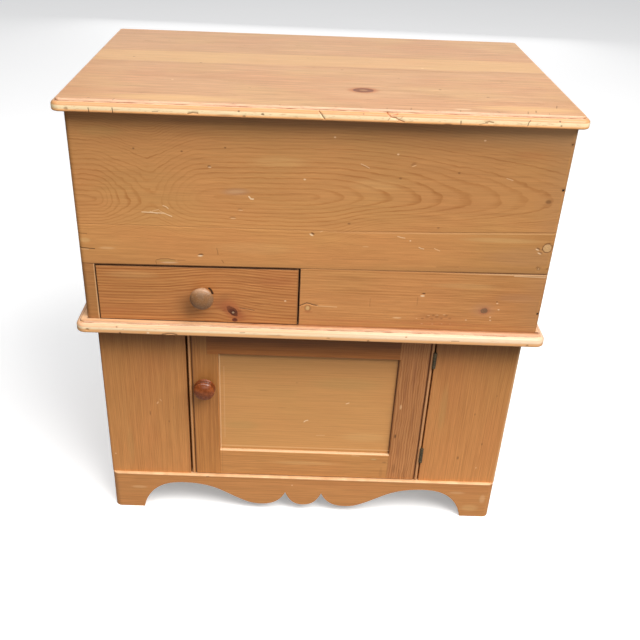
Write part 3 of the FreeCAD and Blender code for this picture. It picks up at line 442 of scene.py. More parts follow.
# ---------------------------------------------------------------------- marks
UPPER = [
    dot(-126, 671, 20, 5.5, "purple", 0.42, 0.10, 0.05, 0.5), dot(-126, 671, 13, 2.6, "light", 0.18, 0.0, 0.05, 0.5),
    line([(-106, 664), (-103, 660), (-99, 660)], 0.7, "white", 0.85, 0.5),
    line([(-275, 632), (-256, 631.5), (-240, 631), (-228, 626)], 0.3, "white", 0.9, 0.35), line([(-262, 633.4), (-250, 629.6)], 0.25, "white", 0.6, 0.2), line([(-247, 635), (-234, 628.4)], 0.25, "light", 0.6, 0.2), line([(-272, 630), (-245, 629.4)], 0.25, "brown", 0.5, 0.2),
    line([(-241, 644), (-236, 642), (-233, 639)], 0.3, "white", 0.75, 0.3),
    line([(-258, 634), (-248, 637)], 0.4, "light", 0.5, 0.2),
    # dents in the next three lines: each darker mark is painted shade in the dent, each paler one just below it a
    # painted highlight on its lip
    dot(-132, 628, 5, 1.6, "brown", 0.5, 0.5), dot(-131, 626.2, 4, 1.0, "light", 0.55),
    dot(-120, 642, 4, 1.5, "brown", 0.45, 0.4), dot(-119, 640.4, 3.4, 0.9, "light", 0.5),
    dot(-167, 711, 2.6, 1.6, "dark", 0.7, 0.5), dot(-166, 709.4, 2.4, 0.9, "white", 0.6),
    dot(-281, 735, 1.6, 1.4, "dark", 0.7, 0.3), dot(-208, 733, 1.7, 1.3, "dark", 0.7, 0.3),
    dot(-142, 741, 1.7, 1.3, "dark", 0.7, 0.3), dot(-20, 695, 1.8, 1.2, "white", 0.7), dot(23, 763, 1.6, 1.1, "white", 0.6),
    dot(120, 740, 1.6, 1.2, "white", 0.6), dot(248, 766, 1.8, 1.1, "white", 0.6),
    # a dent: the brown mark is painted shade in it, the light one just below a painted highlight on its lip
    dot(145, 725, 4.2, 2.6, "brown", 0.6, 0.6, 0.4), dot(146, 722.8, 3.6, 0.9, "light", 0.5, 0.0, 0.4),
    dot(127, 702, 2.2, 1.5, "dark", 0.5, 0.35),
    line([(65, 723), (72, 720), (78, 717)], 0.3, "white", 0.5, 0.25), line([(66, 721.6), (77, 715.8)], 0.25, "brown", 0.45, 0.2), line([(290, 708), (300, 705)], 0.3, "white", 0.4, 0.25),
    dot(216, 714, 1.8, 1.6, "dark", 0.6, 0.3), dot(53, 624, 2.4, 1.3, "dark", 0.6, 0.4), dot(195, 622, 2.0, 1.3, "dark", 0.5, 0.3),
    dot(361, 672, 4.4, 3.2, "dark", 0.65, 0.4), dot(-381, 762, 2.4, 2.6, "dark", 0.75, 0.3),
    dot(-381, 700, 2.2, 2.0, "dark", 0.7, 0.3), dot(382, 764.5, 5.5, 4.5, "brown", 0.4), dot(382, 691.8, 5.0, 4.0, "brown", 0.4),
    dot(320, 745, 22, 6, "red", 0.16), dot(-330, 760, 30, 8, "green", 0.2), dot(90, 690, 34, 9, "yellow", 0.12),
    dot(-60, 722, 40, 8, "yellow", 0.12), dot(215, 655, 30, 6, "red", 0.10),
]
MIDDLE = [
    line([(-382, 566.5), (-372, 566), (-356, 565)], 0.5, "black", 0.75, 1.2), line([(-382, 563.5), (-366, 563.8)], 0.4, "light", 0.5),
    line([(-382, 592), (-366, 591)], 0.35, "dark", 0.55, 0.5),
    dot(-336, 567, 12, 2.2, "light", 0.28, 0.0), dot(-370, 580, 8, 4, "yellow", 0.3),
    line([(-257, 548.4), (-249, 551.2), (-238, 551.6), (-226, 549.4)], 0.4, "dark", 0.55, 0.3), line([(-222, 548.6), (-210, 549.6)], 0.35, "brown", 0.5), line([(-258, 546.8), (-257, 541)], 0.35, "dark", 0.5, 0.2), dot(-240, 548, 15, 2.0, "green", 0.45, 0.12, 0.02), dot(-236, 544.6, 13, 1.4, "white", 0.35, 0.0, 0.02),
    # a dent: the dark mark is painted shade in it, the white one just below a painted highlight on its lip
    dot(-184, 561, 4.0, 1.7, "dark", 0.85, 0.9, 0.1), dot(-185, 558.6, 3.8, 1.4, "white", 0.9, 0.0, 0.1),
    line([(-158, 573), (-156.6, 567), (-156, 562)], 0.5, "brown", 0.65, 0.2), line([(-150, 552), (-147, 547)], 0.5, "brown", 0.65, 0.2),
    # a dent: the dark mark is painted shade in it, the white one just below a painted highlight on its lip
    dot(-4, 605, 3.2, 1.3, "dark", 0.9, 0.8, -0.5), dot(-6, 602.6, 3.2, 1.3, "white", 0.95, 0.0, -0.5),
    line([(8, 608), (16, 612)], 0.35, "light", 0.5, 0.1),
    line([(132, 605), (137, 603.4), (144, 602.4)], 0.3, "white", 0.65, 0.2), dot(153, 598, 1.3, 1.1, "white", 0.8, 0.2),
    line([(168, 587), (172, 585), (176, 584.5)], 0.32, "white", 0.7, 0.25), line([(168, 585.4), (175, 582.8)], 0.25, "brown", 0.4, 0.2), line([(193, 586), (197, 584), (202, 582)], 0.3, "light", 0.65, 0.25),
    # dents in the next two lines: each dark mark is painted shade in the dent, each white one just below it a painted
    # highlight on its lip
    dot(82, 585, 5, 1.0, "light", 0.3), dot(360, 592, 3.2, 1.4, "dark", 0.7, 0.6, -0.4), dot(358.5, 590, 3.0, 1.0, "white", 0.8, 0.0, -0.4),
    dot(365, 585, 3.6, 1.3, "dark", 0.6, 0.5, -0.4), dot(363, 583.4, 3.2, 1.0, "white", 0.8, 0.0, -0.4),
    line([(366.4, 590), (367.6, 596.5), (371.5, 600.6), (376.5, 601.6)], 0.55, "dark", 0.8, 0.25),
    line([(381.4, 598), (382.6, 592), (380, 586.6)], 0.5, "dark", 0.75, 0.25), line([(375, 585), (370.5, 586)], 0.45, "dark", 0.5, 0.2),
    line([(362.5, 557.4), (364.6, 559.2), (367.2, 557.6)], 0.5, "dark", 0.55, 0.15), dot(381, 556, 2.2, 1.5, "dark", 0.6, 0.3),
    dot(345, 575, 60, 16, "purple", 0.16), dot(300, 604, 60, 4, "yellow", 0.22), dot(-100, 575, 60, 10, "yellow", 0.10),
    line([(30, 561), (120, 562.5)], 0.35, "brown", 0.35), line([(200, 553), (236, 554)], 0.5, "brown", 0.45),
]
LOWER = [
    # a dent: the dark mark is painted shade in it, the white one just below a painted highlight on its lip
    dot(185, 502.4, 3.0, 1.2, "dark", 0.85, 0.8), dot(183.6, 498.4, 3.4, 1.4, "white", 0.85),
    dot(309, 492, 1.4, 1.2, "dark", 0.7), dot(310, 489, 1.6, 1.1, "white", 0.7), dot(314, 477, 1.5, 1.1, "white", 0.7),
    dot(302, 462, 1.5, 1.2, "white", 0.6), dot(303, 456, 1.5, 1.1, "white", 0.6),
    line([(97, 490), (97, 475)], 0.35, "brown", 0.4, 0.15), line([(176, 495), (176, 480)], 0.35, "brown", 0.4, 0.15),
    dot(145, 455, 7, 1.4, "light", 0.6), dot(200, 457, 26, 7, "brown", 0.16, 0.25), dot(188, 445, 1.8, 0.8, "light", 0.6),
    dot(206, 445, 1.6, 0.8, "light", 0.55), dot(222, 446, 1.4, 0.8, "light", 0.5), dot(236, 446, 1.4, 0.8, "light", 0.4), dot(178, 455, 1.4, 0.8, "light", 0.45), dot(262, 455, 1.6, 0.9, "white", 0.6), dot(214, 452, 44, 9, "red", 0.22, 0.0, 0.0, 0.9), dot(198, 461, 2.4, 0.8, "light", 0.5), dot(212, 462.6, 2.4, 0.8, "light", 0.45), dot(224, 464, 2.4, 0.8, "light", 0.45),
    line([(-21, 471.6), (-15, 474.4), (-9, 477.4), (-4, 476.6), (2, 474.2), (9, 473.4)], 0.4, "black", 0.75, 0.8), line([(9, 472.6), (24, 472.4), (42, 471.8)], 0.3, "light", 0.6),
    dot(-7, 467, 5.6, 6.6, "brown", 0.6, 0.15, 0.0, 0.3), dot(-7, 468, 3.2, 4.0, "yellow", 0.6, 0.0, 0.0, 0.4), dot(-6, 461, 7, 2.6, "red", 0.4),
    dot(196, 458, 3.4, 2.2, "dark", 0.3, 0.3, 0.4), dot(204, 455, 3.0, 2.0, "dark", 0.28, 0.3, -0.4),
    dot(212, 459, 3.2, 2.4, "dark", 0.3, 0.3, 0.3), dot(220, 456, 2.4, 2.0, "dark", 0.28, 0.3), dot(227, 461, 3.4, 2.0, "dark", 0.3, 0.3, 0.5),
    dot(206, 462, 2.2, 1.5, "dark", 0.4, 0.3), dot(188, 455, 2.4, 1.6, "dark", 0.4, 0.3), dot(234, 457, 2.4, 1.5, "dark", 0.35, 0.2),
    dot(288, 476, 16, 10, "purple", 0.35, 0.0, 0.0, 0.9), dot(150, 445, 190, 3.2, "red", 0.28), dot(340, 500, 30, 8, "purple", 0.18),
    line([(330, 541), (384, 540.4)], 0.5, "white", 0.45),
    dot(80, 524, 40, 3, "brown", 0.15), dot(250, 520, 50, 5, "yellow", 0.14),
]
DRAWER = [
    dot(-45, 480, 1.8, 1.2, "white", 0.75), line([(-121, 463.4), (-110, 462), (-97, 459.6)], 0.35, "dark", 0.75, 0.6),
    dot(-130, 440, 4.6, 3.6, "maroon", 0.85, 0.3, 0.0, 0.3), dot(-121, 451, 8, 11, "maroon", 0.25, 0.0, 0.4, 0.9), dot(-150, 464, 13, 7, "maroon", 0.28, 0.0, -0.6, 0.9), dot(-146, 470, 20, 12, "red", 0.35), dot(-112, 448, 14, 9, "red", 0.30),
    dot(-330, 452, 26, 6, "red", 0.2), dot(-60, 515, 26, 8, "red", 0.22), dot(-300, 520, 40, 7, "yellow", 0.14),
    dot(-150, 481, 12, 7, "brown", 0.35, 0.0, 0.6, 0.8), line([(-172, 499), (-169, 496), (-166.6, 490)], 1.5, "black", 0.9),
    # painted shadow of the knob: two soft brown patches to its lower left
    dot(-213, 470, 15, 20, "brown", 0.42, 0.0, 0.0, 0.9), dot(-200, 456, 14, 8, "brown", 0.35, 0.0, 0.0, 0.9),
    line([(-96, 470), (-70, 474)], 0.4, "brown", 0.5), line([(-340, 470), (-300, 471)], 0.35, "brown", 0.4),
]
LID = [
    dot(-322, 27, 2.0, 1.6, "dark", 0.75, 0.3), dot(-203, 0, 2.0, 1.6, "dark", 0.75, 0.3), dot(38, -15, 2.0, 1.6, "dark", 0.7, 0.3),
    dot(190, -122, 2.2, 1.7, "dark", 0.75, 0.3), dot(260, -157, 2.4, 1.8, "dark", 0.75, 0.3),
    dot(-235, -117, 2.2, 1.6, "white", 0.7), dot(178, 15, 2.2, 1.6, "white", 0.7),
    dot(-220, -222, 105, 16, "yellow", 0.35), dot(310, -216, 75, 13, "yellow", 0.35),
    line([(-300, -70), (-262, -66)], 0.4, "light", 0.4), line([(120, 120), (190, 128)], 0.5, "light", 0.35),
    dot(-341, -236, 2, 1.2, "dark", 0.6), line([(-304, -243), (-303, -236)], 0.35, "dark", 0.6),
    line([(96, -242), (97, -234)], 0.35, "dark", 0.55), line([(131, -242), (133, -231)], 0.35, "dark", 0.6),
    line([(170, -242), (168, -236)], 0.35, "dark", 0.5), line([(204, -242), (205, -233)], 0.35, "dark", 0.5),
    line([(262, -242), (260, -232)], 0.35, "dark", 0.55), line([(303, -242), (306, -229)], 0.4, "dark", 0.6),
    line([(317, -231), (319, -223)], 0.5, "dark", 0.7, 0.4), line([(335, -240), (336, -234)], 0.35, "dark", 0.5),
    line([(354, -206), (358, -192)], 0.45, "dark", 0.65, 0.4), line([(60, -242), (58, -236)], 0.3, "dark", 0.4),
    line([(20, -242), (22, -237)], 0.3, "dark", 0.4), line([(-60, -242), (-61, -236)], 0.3, "dark", 0.45),
    line([(-130, -242), (-128, -237)], 0.3, "dark", 0.4), line([(-250, -242), (-251, -237)], 0.3, "dark", 0.4),
    line([(-340, -222), (-300, -212), (-262, -209)], 0.35, "brown", 0.35, 0.1), dot(210, -229, 12, 3.4, "white", 0.5),
    dot(-110, -150, 2, 1.4, "dark", 0.5, 0.2), dot(-20, 60, 2, 1.4, "dark", 0.5, 0.2), dot(130, -60, 2, 1.3, "dark", 0.5, 0.2),
    dot(300, -60, 2.2, 1.4, "dark", 0.5, 0.2), dot(-280, 160, 2, 1.4, "dark", 0.45, 0.2), dot(60, 200, 2, 1.4, "dark", 0.45, 0.2),
    line([(150, -180), (190, -174)], 0.4, "brown", 0.35, 0.1), line([(240, -150), (300, -146)], 0.4, "brown", 0.35, 0.1),
    dot(-150, 170, 60, 12, "red", 0.12), dot(200, 190, 80, 14, "red", 0.12), dot(-60, -60, 70, 14, "red", 0.08),
]

# cracks, chips and gouges along the front mouldings: (x, z) on the lid's and the waist board's front
LID_EDGE = [
    line([(-339, 792.6), (-339.4, 799)], 0.35, "dark", 0.8, 0.7), line([(-304, 793), (-304.6, 800)], 0.35, "dark", 0.8, 0.7),
    line([(-194, 795.5), (-187, 797.5), (-180, 797)], 0.8, "brown", 0.7, 0.8), dot(-120, 801.6, 1.6, 1.2, "dark", 0.8, 0.6),
    dot(-85, 798.6, 2.2, 1.4, "dark", 0.8, 0.7), line([(-2.4, 805), (1.5, 800.5), (6, 794.5)], 0.4, "dark", 0.85, 0.9),
    line([(97, 805.5), (103, 801), (109, 800.4), (115, 797.4), (122, 795)], 0.5, "red", 0.85, 0.8),
    line([(104, 803.6), (112, 805)], 0.4, "red", 0.7, 0.5), line([(205, 794.5), (204.6, 799)], 0.4, "dark", 0.8, 0.6),
    line([(241, 798.4), (246, 799.6), (252, 798.6)], 0.6, "brown", 0.75, 0.6), dot(349, 803, 1.6, 1.3, "dark", 0.8, 0.6),
    line([(98, 796), (101, 800), (99, 804)], 0.25, "red", 0.6, 0.4), line([(112, 794.6), (116, 798.6), (119, 802)], 0.25, "red", 0.55, 0.4),
    line([(303, 795), (303.6, 800), (306, 803)], 0.3, "maroon", 0.75, 0.5), line([(-246, 797), (-238, 797.6)], 0.3, "maroon", 0.5, 0.3),
    line([(232, 795), (244, 797.4)], 0.3, "maroon", 0.5, 0.3), dot(186, 793.6, 6, 1.0, "maroon", 0.5, 0.2),
    dot(-112, 795, 2.4, 1.2, "maroon", 0.6, 0.4), dot(352, 797, 1.4, 1.2, "maroon", 0.6, 0.3), dot(62, 804, 1.2, 1.0, "maroon", 0.5),
    dot(-372, 797, 3, 2, "brown", 0.6, 0.5), dot(20, 797, 9, 1.6, "light", 0.4), dot(-140, 795.4, 12, 1.2, "brown", 0.4),
]
WAIST_EDGE = [
    dot(-379, 421, 3.0, 1.8, "brown", 0.7, 0.9), dot(-324, 415.4, 2.0, 1.6, "dark", 0.85, 0.6), dot(-276, 418, 2.4, 1.7, "white", 0.95),
    line([(-252, 415.6), (-243, 417.4), (-236, 417.6), (-228, 416)], 0.9, "dark", 0.7, 0.8), dot(-329, 427, 1.8, 1.2, "dark", 0.6, 0.4),
    dot(98, 416.4, 2.2, 1.4, "dark", 0.65, 0.5), dot(162, 426, 2.0, 1.2, "brown", 0.65, 0.4), dot(369, 418, 2.4, 1.5, "dark", 0.6, 0.5),
    line([(-120, 424), (-112, 424.6)], 0.5, "brown", 0.5, 0.3), line([(240, 421), (252, 421.4)], 0.5, "brown", 0.5, 0.3),
    dot(30, 419, 3, 1.4, "brown", 0.5, 0.4), dot(310, 424, 8, 1.4, "light", 0.3), dot(-60, 421, 14, 1.4, "brown", 0.3),
]


def moulding_after(z0, t, X, yf, edge_marks, face, lower, ovolo, arris, arris_on=(0.15, 0.8), top_darkening=None, under_dark=0.35, tan_at=5.8,
                   pink_from=900.0):
    """The moulded edge: worn pale arris, dirt in the step, an orange ovolo, a pale face below it with worn finish and a
    painted highlight band, painted shade on the rounding underneath, paler and pinker to the right as a painted
    highlight, and the marks along the front."""
    def after(n, u, v, w, color, r, height):
        x, y, z = u, v, w - z0
        inset = n.min(X - n.math("ABSOLUTE", x), y - yf)
        near = n.smooth(inset, 10.0, 12.0, 1.0, 0.0)
        # painted highlight: the face turns paler and pinker to the right of pink_from
        pink = n.math("MULTIPLY", n.smooth(x, pink_from, pink_from + 220.0, 0.0, 0.36), n.smooth(z, 4.0, 9.0))
        wear = n.noise(n.xyz(x * (1 / 26.0), y * (1 / 26.0), z * 0.2), 1.0, 3.0, 0.6, seed=5.5)
        fleck = n.noise(n.xyz(x * (1 / 9.0), y * (1 / 9.0), z * 0.6), 1.0, 2.0, 0.6, seed=15.5)
        if top_darkening is not None:
            color = top_darkening(n, x, y, inset, wear, color)
        ov = n.math("MULTIPLY", n.smooth(z, t - 9.6, t - 7.6), near)
        ov = n.math("MULTIPLY", ov, n.smooth(inset, 6.2, 6.8, 1.0, 0.0))
        color = n.mix(n.math("MULTIPLY", ov, n.lin(wear, 0.3, 0.7, 0.95, 0.6)), color, ovolo)
        # a pale band across the face, worn finish with a painted highlight, and tan lower down
        fc = n.math("MULTIPLY", n.smooth(z, t - 7.4, t - 9.6, 0.0, 1.0), near)
        tan = n.smooth(z, tan_at, tan_at - 3.2)
        face_c = n.mix(tan, face, lower)
        color = n.mix(n.math("MULTIPLY", fc, n.lin(wear, 0.25, 0.65, 0.97, 0.80)), color, face_c)
        color = n.mix(n.math("MULTIPLY", fc, n.smooth(fleck, 0.56, 0.68, 0.0, 0.45)), color, ovolo)
        color = n.mix(n.math("MULTIPLY", pink, near), color, (0.92, 0.64, 0.48))
        wall = n.math("MULTIPLY", n.smooth(z, t - 4.4, t - 3.8), n.smooth(inset, 7.3, 6.9, 0.0, 1.0))
        wall = n.math("MULTIPLY", wall, near)
        color = n.mix(n.math("MULTIPLY", wall, 0.85), color, (0.90, 0.66, 0.46))
        line_ = n.math("MULTIPLY", n.smooth(inset, 6.35, 6.75), n.smooth(z, t - 2.4, t - 3.2, 0.0, 1.0))
        line_ = n.math("MULTIPLY", line_, n.smooth(z, t - 4.6, t - 4.1))
        line_ = n.math("MULTIPLY", line_, n.smooth(inset, 7.6, 7.2, 0.0, 1.0))
        color = n.mix(n.math("MULTIPLY", line_, n.lin(wear, 0.40, 0.62, 0.15, 0.95)), color, (0.36, 0.10, 0.045))
        ar = n.math("MULTIPLY", n.smooth(z, t - 2.2, t - 1.4), n.smooth(inset, 6.6, 7.2))
        ar = n.math("MULTIPLY", ar, n.smooth(inset, 8.6, 10.5, 1.0, 0.0))
        color = n.mix(n.math("MULTIPLY", ar, n.lin(wear, 0.3, 0.7, *arris_on)), color, arris)
        red = n.math("MULTIPLY", ar, n.smooth(fleck, 0.55, 0.66, 0.0, 0.55))
        color = n.mix(red, color, (0.62, 0.27, 0.17))
        # painted shade on the rounding under the edge
        under = n.math("MULTIPLY", n.smooth(z, 3.4, 0.6), near)
        color = n.mix(n.math("MULTIPLY", under, under_dark), color, (0.40, 0.17, 0.06))
        front = n.smooth(y, yf + 11.0, yf + 9.0)
        zz = z + z0
        shift = n.math("MULTIPLY", color, 0.08)
        x, zz = x + shift, zz + shift
        pq = n.xyz(x, zz, 0.0)
        for kind, at, size, angle, soft, tone, amount, depth in edge_marks:
            if kind == "dot":
                m, _ = n.disc(x, zz, at, size, soft, angle)
            else:
                m = n.strokes(pq, at, size, soft)
            color = n.mix(n.math("MULTIPLY", n.math("MULTIPLY", m, front), amount), color, TONES[tone])
        return color, r, height
    return after


def waist_top_darkening(n, x, y, inset, wear, color):
    # darker on the top in front of the box from the middle to the right, paler at the left
    d = n.math("MULTIPLY", n.smooth(y, -242.0, -238.5), n.smooth(x, -190.0, -90.0, 0.15, 1.0))
    outside = n.smooth(y, -230.0, -233.5)
    d = n.math("MULTIPLY", d, outside)
    color = n.mix(n.math("MULTIPLY", d, n.lin(wear, 0.3, 0.7, 0.95, 0.65)), color, (0.36, 0.14, 0.055))
    # painted shade: a dark line in the crease at the foot of the box
    d2 = n.math("MULTIPLY", n.math("MULTIPLY", n.smooth(y, -235.7, -234.7), outside), n.smooth(x, -383.0, -380.0))
    return n.mix(d2 * 0.8, color, (0.13, 0.045, 0.02))


LIDX, LIDF = 397.0, -YM
WAX, WAF = 400.0, 1.0 - YM
lid_edge_after = moulding_after(792.0, 18.0, LIDX, LIDF, LID_EDGE, (0.98, 0.78, 0.47), (0.98, 0.48, 0.18),
                                (0.59, 0.29, 0.115), (0.80, 0.50, 0.34))
waist_edge_after = moulding_after(414.0, 20.0, WAX, WAF, WAIST_EDGE, (0.97, 0.77, 0.49), (0.80, 0.41, 0.165),
                                  (0.72, 0.41, 0.235), (0.50, 0.24, 0.12), top_darkening=waist_top_darkening, under_dark=0.55, tan_at=9.0, arris_on=(0.45, 0.95), pink_from=-60.0)


def lid_after(n, u, v, w, color, r, height):
    # a paler sapwood band across the board, with a dark ring at each side of it
    mid = n.lin(u, -350.0, 350.0, 0.0, 12.0)
    q = v - mid
    wav = n.noise(n.xyz(u * (1 / 120.0), v * (1 / 200.0), 0.0), 1.0, 1.0, 0.5, seed=4.2)
    q = q + (wav - 0.5) * 10.0
    band = n.math("MULTIPLY", n.smooth(q, -7.0, 2.0), n.smooth(q, 70.0, 80.0, 1.0, 0.0))
    color = n.mix(band * 0.38, color, (0.72, 0.44, 0.195))
    # fine dark and pale flecks of wear
    fl = n.noise(n.xyz(u * (1 / 16.0), v * (1 / 2.2), 0.0), 1.0, 2.0, 0.7, seed=44.0)
    color = n.mix(n.smooth(fl, 0.63, 0.74, 0.0, 0.45), color, (0.47, 0.245, 0.125))
    color = n.mix(n.smooth(fl, 0.36, 0.26, 0.0, 0.40), color, (0.80, 0.55, 0.36))
    sp = n.noise(n.xyz(u * (1 / 2.6), v * (1 / 2.6), 0.0), 1.0, 1.0, 0.5, seed=47.0)
    color = n.mix(n.smooth(sp, 0.76, 0.80, 0.0, 0.6), color, (0.30, 0.13, 0.07))
    for c, wd, a in ((-10.0, 1.6, 0.55), (-17.0, 1.0, 0.30), (79.0, 1.4, 0.5), (90.0, 1.0, 0.25)):
        m = n.math("MULTIPLY", n.smooth(q, c - wd * 2.4, c), n.smooth(q, c + 0.4, c + 1.4, 1.0, 0.0))
        color = n.mix(m * a, color, (0.44, 0.215, 0.095))
    color, height = knot(n, u, v, color, height, (67.0, -142.0), (14.0, 10.5), 0.1, 2.1, core=(0.17, 0.055, 0.035), ring=2.4,
                         soft=0.12, amount=0.9, light=0.55)
    rim, rr = n.disc(u, v, (67.0, -142.0), (15.5, 11.5), 0.1, 0.1)
    ring = n.math("MULTIPLY", n.smooth(rr, 0.80, 0.93), n.smooth(rr, 1.0, 1.12, 1.0, 0.0))
    color = n.mix(ring * 0.6, color, (0.10, 0.035, 0.022))
    return lid_edge_after(n, u, v, w, color, r, height)


def lid_field(n, u, v, w):
    lift = over(n, u, v, 67.0, -142.0, 11.0, 30.0, 26.0, 0.95)
    return v + 900.0 - u * 0.016 - lift


def waist_after(n, u, v, w, color, r, height):
    return waist_edge_after(n, u, v, w, color, r, height)


def lower_after(n, u, v, w, color, r, height):
    color = lower_seams(n, u, v, color)
    color = n.mix(n.smooth(u, 330.0, 384.0, 0.0, 0.22), color, (0.36, 0.20, 0.10))
    # painted shade in the crease along the foot, where the board meets the waist board
    color = n.mix(n.smooth(v, 439.5, 434.8, 0.0, 0.55), color, (0.30, 0.11, 0.04))
    color, height = knot(n, u, v, color, height, (290.0, 474.0), (6.2, 4.8), 0.15, 2.1, core=(0.055, 0.030, 0.012))
    return color, r, height


LOW_PTS = [(-384, -5.15), (384, 3.15)]
HIGH_PTS = [(-384, -6.5), (50, -4.5), (200, -0.5), (340, 4.0), (384, 5.3)]


def joint_height(n, u, low=True):
    """Height of the joint at u."""
    if low:
        return n.lin(u, -384.0, 384.0, 542.5 - 5.15, 542.5 + 3.15)
    d = n.lin(u, -384.0, 50.0, -6.5, -4.5) + n.lin(u, 50.0, 200.0, 0.0, 4.0) + n.lin(u, 200.0, 384.0, 0.0, 5.8)
    return d + 614.5


def seam(n, u, v, at, half, color, amount, tone):
    """A fine line along a joint, strength by position along it."""
    d = n.math("ABSOLUTE", v - at)
    m = n.smooth(d, half + 0.5, half, 0.0, 1.0)
    return n.mix(n.math("MULTIPLY", m, amount), color, tone)


def middle_after(n, u, v, w, color, r, height):
    # dark lower joint, stronger to the right, with a soft margin of painted shade above it
    jl, jh = joint_height(n, u), joint_height(n, u, False)
    amt = n.curve(u, -384, 384, [(-384, 0.8), (-30, 0.8), (0, 0.30), (180, 0.50), (384, 0.95)], 0, 1)
    color = seam(n, u, v, jl + 0.4, 0.9, color, amt, (0.10, 0.035, 0.012))
    soft = n.math("MULTIPLY", n.smooth(v - jl, 14.0, 0.5), n.smooth(u, 120.0, 320.0, 0.08, 0.50))
    color = n.mix(soft, color, (0.34, 0.165, 0.06))
    amt2 = n.curve(u, -384, 384, [(-384, 0.04), (0, 0.08), (200, 0.30), (384, 0.34)], 0, 1)
    color = seam(n, u, v, jh - 0.2, 0.5, color, amt2, (0.28, 0.12, 0.04))
    # painted highlight: a light line along the top edge, below the upper joint
    color = seam(n, u, v, jh - 2.0, 0.7, color, n.smooth(u, -60.0, 200.0, 0.0, 0.24), (0.84, 0.52, 0.25))
    return color, r, height


def upper_after(n, u, v, w, color, r, height):
    amt2 = n.curve(u, -384, 384, [(-384, 0.04), (0, 0.08), (200, 0.30), (384, 0.34)], 0, 1)
    color = seam(n, u, v, joint_height(n, u, False) + 0.6, 0.6, color, amt2, (0.28, 0.12, 0.04))
    # darker, greyer towards the right end, and painted light along the top edge to the right, where it lessens the
    # painted shade under the lid
    color = n.mix(n.smooth(u, 330.0, 384.0, 0.0, 0.22), color, (0.36, 0.20, 0.10))
    tr = n.math("MULTIPLY", n.smooth(u, 120.0, 380.0), n.smooth(v, 745.0, 785.0))
    color = n.mix(tr * 0.5, color, (0.74, 0.42, 0.19))
    return color, r, height


def lower_seams(n, u, v, color):
    jl = joint_height(n, u)
    color = seam(n, u, v, jl - 0.2, 0.5, color, n.smooth(u, -20.0, 384.0, 0.15, 0.85), (0.12, 0.045, 0.015))
    # painted highlight: a light line along the lower board's top edge, below the joint
    color = seam(n, u, v, jl - 2.2, 0.8, color, n.smooth(u, 190.0, 350.0, 0.0, 0.50), (0.86, 0.56, 0.31))
    # painted black shade in the gap by the drawer at the left end
    end = n.smooth(u, -20.0, -21.4)
    return n.mix(end, color, (0.08, 0.03, 0.012))


def strip_after(n, u, v, w, color, r, height):
    # painted highlight along the right edge
    color = n.mix(n.math("MULTIPLY", n.smooth(u, -361.8, -360.9), n.lin(v, 434.0, 540.0, 0.75, 0.40)), color, (0.80, 0.47, 0.23))
    # painted black shade in the gap by the drawer
    color = n.mix(n.smooth(u, -359.9, -359.3, 0.0, 0.9), color, (0.05, 0.02, 0.01))
    # painted shade in the crease along the foot, where the strip meets the waist board
    color = n.mix(n.smooth(v, 439.5, 434.8, 0.0, 0.5), color, (0.30, 0.13, 0.05))
    # painted shade on the rounded left edge
    color = n.mix(n.smooth(u, -371.0, -380.0, 0.0, 0.30), color, (0.24, 0.11, 0.04))
    return color, r, height


def drawer_after(n, u, v, w, color, r, height):
    color, height = knot(n, u, v, color, height, (-134.0, 457.5), (12.0, 6.6), -0.85, 2.7, core=(0.085, 0.016, 0.010), light=0.0, amount=0.97)
    p, q = u + 134.4, v - 457.6
    heart, _ = n.disc(p * 0.66 - q * 0.75, p * 0.75 + q * 0.66, (0.0, 0.0), (9.4, 4.6), 0.5)
    color = n.mix(heart * 0.72, color, (0.045, 0.008, 0.006))
    low, _ = n.disc(u, v, (-130.0, 440.0), (4.0, 3.2), 0.4)
    color = n.mix(low * 0.6, color, (0.07, 0.010, 0.008))
    spot, _ = n.disc(u, v, (-132.5, 454.5), (2.0, 1.7), 0.5)
    color = n.mix(spot * 0.7, color, (0.62, 0.42, 0.24))
    # painted shade round the edges, brown, and painted black shade in the gaps
    face = n.smooth(w, FRONT + 2.2, FRONT + 0.9, 0.25, 1.0)
    for d, wide, a, gap in ((v - 434.6, 3.0, 0.5, 0.7), (joint_height(n, u) - 2.1 - v, 3.4, 0.6, 1.0), (u + 358.0, 2.0, 0.4, 0.7),
                            (-23.5 - u, 4.0, 0.7, 1.4)):
        color = n.mix(n.math("MULTIPLY", n.smooth(d, wide, 0.4, 0.0, a), face), color, TONES["brown"])
        color = n.mix(n.math("MULTIPLY", n.smooth(d, gap, 0.2, 0.0, 0.95), face), color, (0.03, 0.012, 0.006))
    return color, r, height


def plug_after(n, u, v, w, color, r, height):
    # u runs along the plug's axis; v and w are across it
    m, rr = n.disc(v, w, (374.2, 593.2), (7.8, 7.8), 0.05)
    color = n.mix(n.smooth(rr, 0.80, 0.95, 0.0, 0.85), color, TONES["dark"])
    cx = n.noise(n.xyz(v * 0.9, w * 0.9, 0.0), 1.0, 2.0, 0.6, seed=2.0)
    color = n.mix(n.smooth(cx, 0.5, 0.62, 0.0, 0.35), color, TONES["brown"])
    return color, r, height


def arched(centre, slope, start):
    """Flat-sawn grain whose arches open along the board from the point start."""
    def field(n, u, v, w):
        d = n.math("MULTIPLY", u - start, slope)
        dv = v - centre
        return n.sqrt(n.math("MULTIPLY", dv, dv) + n.math("MULTIPLY", d, d))
    return field


